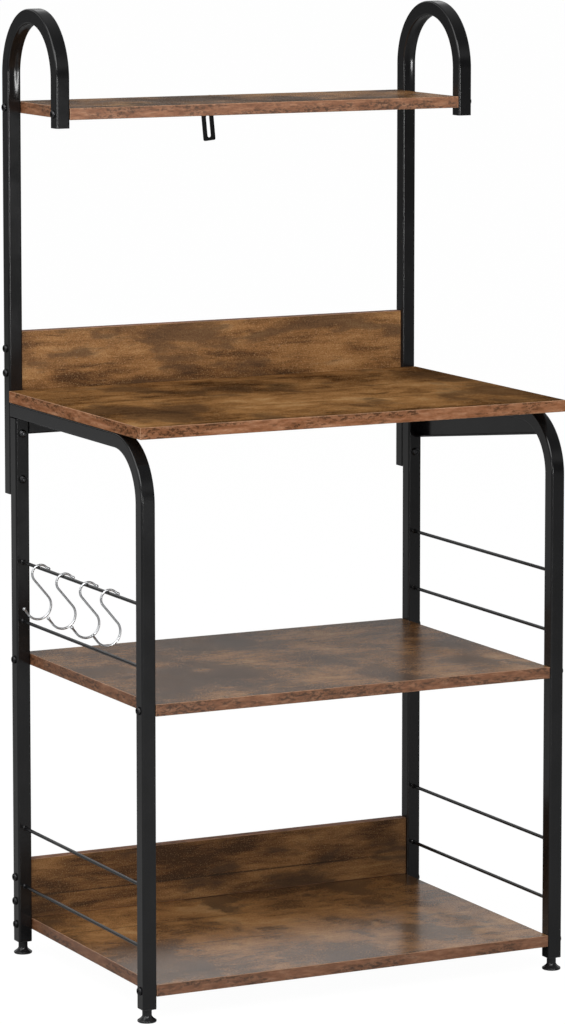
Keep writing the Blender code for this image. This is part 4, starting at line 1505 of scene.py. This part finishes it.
@dataclass
class Bolts:
    """The button-head bolts of the boards' ends, of the uprights and of the worktop."""

    head: float = 0.0105
    height: float = 0.003
    rim: float = 0.0007
    edge: float = 0.0002
    flat_share: float = 0.52
    dome_turn: float = math.radians(79.2)
    dome_steps: int = 8
    shank: float = 0.006
    point: float = 0.001
    point_taper: float = 0.0008
    grip: float = 0.010
    socket: float = 0.004
    socket_sides: int = 6
    socket_depth: float = 0.0018
    socket_cone: float = 0.0004
    lead: float = 0.0003
    lead_lip: float = 0.00005
    lead_share: float = 1.16
    overrun: float = 0.001
    sides: int = 36
    smooth_angle: float = math.radians(30)
    twist: float = 0.47
    panel_spacing: float = 0.032
    upper_panel_rise: float = 0.0765
    lower_panel_rise: float = 0.0785
    upright_rises: tuple[float, float] = (0.022, 0.082)
    worktop_places: tuple[float, float] = (-0.070, -0.270)

    def mesh(self, length: float) -> bpy.types.Mesh:
        """Makes a bolt: a domed head on z = 0 with a hexagon socket, its shank below.

        Args:
            length: the shank's length.

        Returns:
            The mesh.
        """
        radius = self.head / 2
        flat = radius * self.flat_share
        profile = [(0.0, self.height)]
        for step in range(self.dome_steps + 1):
            angle = step / self.dome_steps * self.dome_turn
            reach = flat + (radius - flat) * math.sin(angle) / math.sin(self.dome_turn)
            drop = (1 - math.cos(angle)) / (1 - math.cos(self.dome_turn))
            profile.append((reach, self.height - (self.height - self.rim) * drop))
        profile += [(radius, self.edge), (radius - self.edge, 0.0), (self.shank / 2, 0.0),
                    (self.shank / 2, -length + self.point), (self.shank / 2 - self.point_taper, -length),
                    (0.0, -length)]
        across = self.socket / math.cos(math.pi / self.socket_sides) / 2
        wide = across * self.lead_share
        low = self.height - self.socket_depth
        hollow = [(0.0, self.height + self.overrun), (wide, self.height + self.overrun),
                  (wide, self.height - self.lead_lip), (across, self.height - self.lead), (across, low),
                  (0.0, low - self.socket_cone)]
        bolt = bpy.data.objects.new("bolt", lathe("bolt", profile, self.sides))
        tool = bpy.data.objects.new("socket", lathe("socket", hollow, self.socket_sides))
        for thing in (bolt, tool):
            bpy.context.scene.collection.objects.link(thing)
        cut = bolt.modifiers.new("socket", "BOOLEAN")
        cut.operation = "DIFFERENCE"
        cut.solver = "EXACT"
        cut.object = tool
        bpy.context.view_layer.update()
        graph = bpy.context.evaluated_depsgraph_get()
        mesh = bpy.data.meshes.new_from_object(bolt.evaluated_get(graph))
        for thing in (bolt, tool):
            bpy.data.objects.remove(thing, do_unlink=True)
        smooth(mesh, self.smooth_angle)
        return mesh

    def seats(self, side: Side) -> dict[str, Matrix]:
        """Works out where each bolt of one side stands.

        Args:
            side: the side frame.

        Returns:
            The placements by the bolts' names.
        """
        middle = SIZES.middle_height - SIZES.board / 2
        bottom = SIZES.bottom_height - SIZES.board / 2
        top = SIZES.top_height - SIZES.board / 2
        rear, front = -SIZES.tube / 2, SIZES.front_post_y
        leg = SIZES.upright_y - (SIZES.arch_reach - SIZES.tube)
        upper_z = SIZES.worktop_height + self.upper_panel_rise / 2
        lower_z = SIZES.bottom_height + self.lower_panel_rise / 2
        half = self.panel_spacing / 2
        upper_y = SIZES.upright_rear - SIZES.board / 2
        lower_y = -SIZES.board / 2
        seen_from_side = {
            "top_shelf_rear": (SIZES.upright_y, top), "top_shelf_front": (leg, top),
            "upper_panel_low": (upper_y, upper_z - half), "upper_panel_high": (upper_y, upper_z + half),
            "middle_shelf_rear": (rear, middle), "middle_shelf_front": (front, middle),
            "bottom_shelf_rear": (rear, bottom), "bottom_shelf_front": (front, bottom),
            "lower_panel_low": (lower_y, lower_z - half), "lower_panel_high": (lower_y, lower_z + half),
        }
        out = Vector((side.value, 0, 0))
        x = side.value * (SIZES.frame_half + SIZES.gap)
        seats = {name: standing(Vector((x, y, z)), out) for name, (y, z) in seen_from_side.items()}
        tube_x = side.value * SIZES.tube_x
        for name, rise in zip(("upright_low", "upright_high"), self.upright_rises):
            place = Vector((tube_x, -SIZES.tube - SIZES.gap, SIZES.upright_bottom + rise))
            seats[name] = standing(place, Vector((0, -1, 0)))
        inside = SIZES.rail_top - SIZES.wall - SIZES.gap
        for name, y in zip(("worktop_rear", "worktop_front"), self.worktop_places):
            seats[name] = standing(Vector((tube_x, y, inside)), Vector((0, 0, -1)))
        return seats

    def build(self, shop: Workshop) -> None:
        """Builds the bolts, each in place of its CAD node.

        Args:
            shop: where the pieces are added.
        """
        long_bolt = self.mesh(SIZES.tube + SIZES.gap + self.grip)
        short_bolt = self.mesh(SIZES.wall + SIZES.gap + self.grip)
        for side in Side:
            for number, (name, seat) in enumerate(self.seats(side).items()):
                mesh = short_bolt if name.startswith("worktop") else long_bolt
                twist = Matrix.Rotation(number * self.twist, 4, "Z")
                shop.add(f"{side.word}_{name}_button_bolt", mesh.copy(), shop.palette.bolt, Slot.BOLT,
                         placement=seat @ twist, replaces=f"{side.word}_{name}_bolt")


@dataclass
class LevellingFeet:
    """The four feet: moulded bases, threaded studs and inserts."""

    base: float = 0.024
    neck: float = 0.012
    rim: float = 0.0025
    rim_edge: float = 0.0004
    # The rim's edge: insets from its full radius and heights above the floor
    rim_rows: tuple[tuple[float, float], ...] = (
        (0.0001, 0.0022), (0.0, 0.0018), (0.0, 0.0009), (0.0002, 0.0004), (0.0007, 0.0))
    shoulder: float = 0.0085
    shoulder_edge: float = 0.0006
    neck_edge: float = 0.0004
    bore_edge: float = 0.0003
    flare_power: float = 1.75
    flare_steps: int = 12
    sole: float = 0.006
    stud: float = 0.008
    stud_length: float = 0.027
    pitch: float = 0.00125
    thread: float = 0.0007
    thread_lead: float = 0.0009
    thread_point: float = 0.0004
    thread_root_share: float = 0.12
    thread_flank_share: float = 0.76
    thread_sides: int = 36
    thread_rows: int = 8
    thread_angle: float = math.radians(55)
    flange: float = 0.0012
    sides: int = 64

    def base_mesh(self) -> bpy.types.Mesh:
        """Makes the moulded base: rim, concave flare and neck, bored for the stud.

        Returns:
            The mesh.
        """
        top = SIZES.post_bottom - self.flange - 2 * SIZES.gap
        bore = self.stud / 2 + SIZES.gap
        rim, neck = self.base / 2, self.neck / 2
        profile = [(0.0, self.sole), (bore, self.sole), (bore, top - self.bore_edge),
                   (bore + self.bore_edge, top), (neck - self.neck_edge, top), (neck, top - self.neck_edge),
                   (neck, self.shoulder + self.shoulder_edge)]
        for step in range(self.flare_steps + 1):
            share = step / self.flare_steps
            height = self.shoulder - (self.shoulder - self.rim) * share
            reach = neck + (rim - self.rim_edge - neck) * share ** self.flare_power
            profile.append((reach, height))
        profile += [(rim - inset, height) for inset, height in self.rim_rows]
        profile.append((0.0, 0.0))
        return lathe("foot_base", profile, self.sides)

    def stud_mesh(self) -> bpy.types.Mesh:
        """Makes the stud with its screw thread, standing up from z = 0.

        Returns:
            The mesh.
        """
        sides = self.thread_sides
        crest, root = self.stud / 2, self.stud / 2 - self.thread
        rows = int(self.stud_length / self.pitch * self.thread_rows)
        points = [Vector((0.0, 0.0, 0.0))]
        for row in range(rows + 1):
            z = self.stud_length * row / rows
            taper = min(1.0, min(z, self.stud_length - z) / self.thread_lead)
            for step in range(sides):
                share = (z / self.pitch - step / sides) % 1.0
                flank = (abs(share - 0.5) * 2 - self.thread_root_share) / self.thread_flank_share
                wave = max(0.0, min(1.0, flank))
                radius = root + (crest - root) * wave * taper - self.thread_point * (1 - taper)
                points.append(on_circle(radius, step / sides, z))
        points.append(Vector((0.0, 0.0, self.stud_length)))
        mesh = poled_mesh("stud", points, sides, rising=True)
        smooth(mesh, self.thread_angle)
        return mesh

    def build(self, shop: Workshop) -> None:
        """Builds the bases and studs, and dresses the inserts.

        Args:
            shop: where the pieces are added.
        """
        base, stud = self.base_mesh(), self.stud_mesh()
        for side in Side:
            x = side.value * SIZES.tube_x
            for row, y in (("front", SIZES.front_post_y), ("rear", -SIZES.tube / 2)):
                name = f"{row}_{side.word}"
                shop.add(f"{name}_foot_moulding", base.copy(), shop.palette.plastic, Slot.PLASTIC,
                         body=f"{name}_foot", placement=Matrix.Translation((x, y, 0)),
                         replaces=f"{name}_foot_base")
                shop.add(f"{name}_foot_screw", stud.copy(), shop.palette.zinc, Slot.ZINC,
                         body=f"{name}_stud",
                         placement=Matrix.Translation((x, y, self.sole + SIZES.gap)),
                         replaces=f"{name}_foot_stud")
                shop.dress(f"{name}_foot_insert", shop.palette.plug)


@dataclass
class SHooks:
    """The four S-hooks of bright wire with ball ends, on the left frame's upper rod."""

    wire: float = 0.003
    ball: float = 0.0048
    drawn_ball: float = 0.0045
    upper_radius: float = 0.0115
    lower_radius: float = 0.0176
    loop_offset: float = 0.0083
    loop_drop: float = 0.0411
    upper_tip: float = math.radians(45)
    lower_tip: float = math.radians(-150)
    upper_tail: float = 0.006
    lower_tail: float = 0.010
    first: float = 0.072
    spacings: tuple[float, ...] = (0.077, 0.0735, 0.064)
    coarse_steps: int = 12
    fine_steps: int = 60
    ball_steps: int = 14
    ball_blend: float = 1.1
    nearest: float = 0.0001
    sides: int = 24
    smooth_angle: float = math.radians(60)

    def line(self, steps: int) -> list[Vector]:
        """Works out the wire's middle line in side view, before the hook is turned.

        Args:
            steps: how many stretches each loop has.

        Returns:
            The line's points, with the rod's middle at (0, 0).
        """
        seat = SIZES.rod / 2 + SIZES.gap + self.wire / 2
        upper = Vector((0.0, seat - self.upper_radius))
        lower = upper + Vector((-self.loop_offset, -self.loop_drop))
        span = lower - upper
        lean = math.acos((self.upper_radius + self.lower_radius) / span.length)
        leave = math.atan2(span.y, span.x) - lean + TURN
        arcs = ((upper, self.upper_radius, self.upper_tip, leave),
                (lower, self.lower_radius, leave - math.pi, self.lower_tip))
        points = []
        for centre, radius, start, end in arcs:
            for step in range(steps + 1):
                angle = start + (end - start) * step / steps
                points.append(centre + Vector((math.cos(angle), math.sin(angle))) * radius)
        ends = [point + Vector((math.sin(tip), -math.cos(tip))) * length
                for point, tip, length in ((points[0], self.upper_tip, self.upper_tail),
                                           (points[-1], self.lower_tip, self.lower_tail))]
        return [ends[0], *points, ends[1]]

    def hang_angle(self) -> float:
        """Works out how the hook hangs, with the CAD source's own sum.

        Returns:
            The turn about the rod.
        """
        points = self.line(self.coarse_steps)
        area = math.pi * (self.wire / 2) ** 2
        extra = 4 / 3 * math.pi * (self.ball / 2) ** 3 / area - self.ball / 2
        moment = (points[0] + points[-1]) * extra
        for start, end in zip(points, points[1:]):
            moment += (start + end) / 2 * (end - start).length
        return -math.atan2(moment.x, -moment.y)

    def rings(self) -> list[tuple[Vector, Vector, float]]:
        """Works out the rings of the hook's skin, from one ball's tip to the other's.

        Returns:
            Each ring's middle in side view, the way that the wire goes there, and its radius.
        """
        turn = Matrix.Rotation(self.hang_angle(), 2)
        points = [turn @ point for point in self.line(self.fine_steps)]
        unique = [points[0]]
        for point in points[1:]:
            if (point - unique[-1]).length > self.nearest:
                unique.append(point)
        wire, ball = self.wire / 2, self.drawn_ball / 2
        inset = math.sqrt(ball ** 2 - wire ** 2) * self.ball_blend
        start, end = unique[0], unique[-1]
        middle = [p for p in unique if (p - start).length > inset and (p - end).length > inset]
        turn_in = math.pi - math.asin(wire / ball)
        caps = []
        for step in range(1, self.ball_steps + 1):
            reach = math.cos(step / self.ball_steps * turn_in) * ball
            caps.append((reach, math.sqrt(max(0.0, ball ** 2 - reach ** 2))))
        out = (start - unique[1]).normalized()
        rows = [(start + out * ball, -out, 0.0)]
        rows += [(start + out * reach, -out, radius) for reach, radius in caps]
        for before, point, after in zip([start, *middle], middle, [*middle[1:], end]):
            rows.append((point, (after - before).normalized(), wire))
        out = (end - unique[-2]).normalized()
        rows += [(end + out * reach, out, radius) for reach, radius in reversed(caps)]
        rows.append((end + out * ball, out, 0.0))
        return rows

    def mesh(self) -> bpy.types.Mesh:
        """Makes one hook: round wire whose ends swell into balls, one skin.

        Returns:
            The mesh.
        """
        tip, *rows, end = self.rings()
        places = [self.at(tip[0])]
        for centre, along, radius in rows:
            normal = Vector((-along.y, along.x))
            for step in range(self.sides):
                angle = TURN * step / self.sides
                flat = centre + normal * (math.cos(angle) * radius)
                places.append(self.at(flat) + Vector((0, math.sin(angle) * radius, 0)))
        places.append(self.at(end[0]))
        mesh = face_out(poled_mesh("hook", places, self.sides))
        smooth(mesh, self.smooth_angle)
        return mesh

    @staticmethod
    def at(point: Vector) -> Vector:
        """Gives a side view point as a point of the rack."""
        return Vector((point.x, 0.0, point.y))

    def build(self, shop: Workshop) -> None:
        """Hangs the hooks.

        Args:
            shop: where the pieces are added.
        """
        mesh = self.mesh()
        y = -self.first
        for number, step in enumerate((0.0, *self.spacings), start=1):
            y -= step
            place = Matrix.Translation((-SIZES.tube_x, y, SIZES.hook_rod_height))
            shop.add(f"s_hook_{number}_wire", mesh.copy(), shop.palette.chrome, Slot.CHROME,
                     body=f"hook_{number}", placement=place, replaces=f"s_hook_{number}")


@dataclass
class WallStrap:
    """The slotted wall strap and its screw, which keep their CAD solids."""

    seed: float = 15.0

    def build(self, shop: Workshop) -> None:
        """Dresses the strap and its screw.

        Args:
            shop: where the pieces are added.
        """
        coat = shop.palette.coat("black_powder_coat_strap", self.seed)
        shop.dress("wall_strap", coat)
        shop.dress("wall_strap_screw", shop.palette.bolt)


# Studio


@dataclass(frozen=True)
class Softbox:
    """One soft studio light, aimed at a point of the rack."""

    name: str
    place: Triple
    aim: Triple
    width: float
    height: float
    power: float

    def build(self) -> None:
        """Adds the light; no camera sees it."""
        light = bpy.data.lights.new(self.name, "AREA")
        light.shape = "RECTANGLE"
        light.size, light.size_y = self.width, self.height
        light.energy = self.power
        lamp = bpy.data.objects.new(self.name, light)
        bpy.context.scene.collection.objects.link(lamp)
        lamp.location = Vector(self.place)
        sight = Vector(self.aim) - Vector(self.place)
        lamp.rotation_euler = sight.to_track_quat("-Z", "Y").to_euler()
        lamp.visible_camera = False


@dataclass(frozen=True)
class Fade:
    """A soft change from start, where the value is low, to end, where it is high."""

    low: float
    high: float
    start: float = 0.0
    end: float = 1.0

    def of(self, sheet: Sheet, value: Socket) -> Socket:
        """Gives the faded value."""
        return sheet.span(value, self.low, self.high, self.start, self.end)


@dataclass
class Studio:
    """The pale floor, the white surroundings, the softboxes and the camera."""

    focal_pixels: float = 4527.8
    image_height: float = 1024.0
    sensor: float = 36.0
    eye: Triple = (-2.6060, -5.3728, 1.4793)
    yaw: float = 0.46624
    pitch: float = 0.11611
    middle_row: float = 350.0
    view_end: float = 200.0
    floor_half: float = 60.0
    floor_drop: float = 0.0004
    floor_glow: float = 0.975
    floor_seen: Colour = (0.06, 0.06, 0.06)
    floor_dull: Colour = (0.42, 0.42, 0.42)
    white: Colour = (1.0, 1.0, 1.0)
    # How bright the room is by the way that is looked: up from the horizon and on to the ceiling, from
    # the front to behind the rack, and beside it on the left with its own rise
    horizon: Fade = Fade(0.16, 0.32, 0.035, 1.0)
    ceiling: Fade = Fade(0.34, 0.62, 1.0, 0.30)
    behind: Fade = Fade(-0.6, 0.5, 0.35, 1.0)
    left: Fade = Fade(-0.55, -0.85)
    left_rise: Fade = Fade(-0.2, 0.3, 0.15, 0.6)
    softboxes: tuple[Softbox, ...] = (
        Softbox("overhead_softbox", (-2.1, -0.6, 3.1), (0.0, -0.15, 0.6), 2.8, 2.8, 46.0),
        Softbox("front_softbox", (-0.7, -2.5, 2.7), (0.0, -0.2, 0.6), 2.2, 1.7, 52.0),
        Softbox("left_strip", (-3.2, -2.0, 0.95), (-0.3, -0.2, 1.05), 1.1, 0.7, 13.0),
        Softbox("far_front_softbox", (1.15, -7.0, 0.70), (0.0, 0.0, 1.10), 0.9, 1.4, 78.0),
        Softbox("low_rear_softbox", (-1.2, 2.6, 0.22), (0.2, 0.0, 0.5), 1.6, 0.4, 0.30),
    )

    def floor(self) -> None:
        """Lays the pale floor: near white to the camera, with soft shadows, and duller to the rack."""
        half = self.floor_half
        mesh = bpy.data.meshes.new("studio_floor")
        ends = [(-half, -half, 0), (half, -half, 0), (half, half, 0), (-half, half, 0)]
        mesh.from_pydata(ends, [], [(0, 1, 2, 3)])
        mesh.update()
        floor = bpy.data.objects.new("studio_floor", mesh)
        bpy.context.scene.collection.objects.link(floor)
        floor.location.z = -self.floor_drop
        material = bpy.data.materials.new("pale_floor")
        material.use_nodes = True
        sheet = Sheet(material.node_tree)
        material.node_tree.nodes.remove(material.node_tree.nodes["Principled BSDF"])
        seen = sheet.node("Emission", Color=self.white, Strength=self.floor_glow)
        shaded = sheet.node("BsdfDiffuse", Color=self.floor_seen)
        pale = sheet.node("AddShader")
        sheet.feed(pale.inputs[0], seen.outputs[0])
        sheet.feed(pale.inputs[1], shaded.outputs[0])
        dull = sheet.node("BsdfDiffuse", Color=self.floor_dull)
        path = sheet.node("LightPath")
        mixed = sheet.node("MixShader")
        sheet.feed(mixed.inputs[0], path.outputs["Is Camera Ray"])
        sheet.feed(mixed.inputs[1], dull.outputs[0])
        sheet.feed(mixed.inputs[2], pale.outputs[0])
        sheet.feed(material.node_tree.nodes["Material Output"].inputs["Surface"], mixed.outputs[0])
        mesh.materials.append(material)

    def surroundings(self) -> None:
        """Sets the world: white to the camera, and a soft room, darker in front, to everything else."""
        world = bpy.data.worlds.new("white_studio")
        world.use_nodes = True
        bpy.context.scene.world = world
        sheet = Sheet(world.node_tree)
        direction = sheet.node("TexCoord").outputs["Generated"]
        x, y, z = sheet.parts(direction)
        level = sheet.times(self.horizon.of(sheet, z), self.ceiling.of(sheet, z))
        level = sheet.times(level, self.behind.of(sheet, y))
        beside = sheet.times(self.left.of(sheet, x), self.left_rise.of(sheet, z))
        level = sheet.math("MAXIMUM", level, beside)
        room = sheet.node("Background", Color=self.white, Strength=level)
        white = sheet.node("Background", Color=self.white, Strength=1.0)
        path = sheet.node("LightPath")
        mixed = sheet.node("MixShader")
        sheet.feed(mixed.inputs[0], path.outputs["Is Camera Ray"])
        sheet.feed(mixed.inputs[1], room.outputs[0])
        sheet.feed(mixed.inputs[2], white.outputs[0])
        output = next(node for node in world.node_tree.nodes if node.type == "OUTPUT_WORLD")
        sheet.feed(output.inputs["Surface"], mixed.outputs[0])

    def camera(self) -> None:
        """Stands the camera where the photograph was taken from."""
        lens = bpy.data.cameras.new("photo_camera")
        lens.sensor_width = self.sensor
        lens.lens = self.focal_pixels / self.image_height * self.sensor
        lens.shift_y = (self.middle_row - self.image_height / 2) / self.image_height
        lens.clip_end = self.view_end
        camera = bpy.data.objects.new("photo_camera", lens)
        bpy.context.scene.collection.objects.link(camera)
        level = math.cos(self.pitch)
        forward = Vector((math.sin(self.yaw) * level, math.cos(self.yaw) * level, -math.sin(self.pitch)))
        right = Vector((math.cos(self.yaw), -math.sin(self.yaw), 0.0))
        up = right.cross(forward)
        turn = Matrix((right, up, -forward)).transposed().to_4x4()
        camera.matrix_world = Matrix.Translation(ORIGIN + Vector(self.eye)) @ turn
        bpy.context.scene.camera = camera

    def build(self) -> None:
        """Builds the studio."""
        self.floor()
        self.surroundings()
        for softbox in self.softboxes:
            softbox.build()
        self.camera()
        bpy.context.scene.view_settings.view_transform = "Standard"
        LOG.info("studio ready with %d softboxes", len(self.softboxes))


def corners(box: Iterable[Vector]) -> list[list[float]]:
    """Gives a box's two corners as plain lists of numbers."""
    return [[round(value, 6) for value in corner] for corner in box]


def main() -> None:
    """Builds the rack's looks and its studio."""
    logging.basicConfig(level=logging.INFO, format="%(name)s: %(message)s")
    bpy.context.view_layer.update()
    shop = Workshop(Palette())
    assemblies = (SideFrame(Side.LEFT), SideFrame(Side.RIGHT), CrossPieces(), Boards(), Bolts(),
                  LevellingFeet(), SHooks(), WallStrap())
    for assembly in assemblies:
        assembly.build(shop)
        LOG.info("%s done", type(assembly).__name__)
    Studio().build()
    LOG.info("%d new pieces", len(shop.made))


if __name__ == "__main__":
    main()
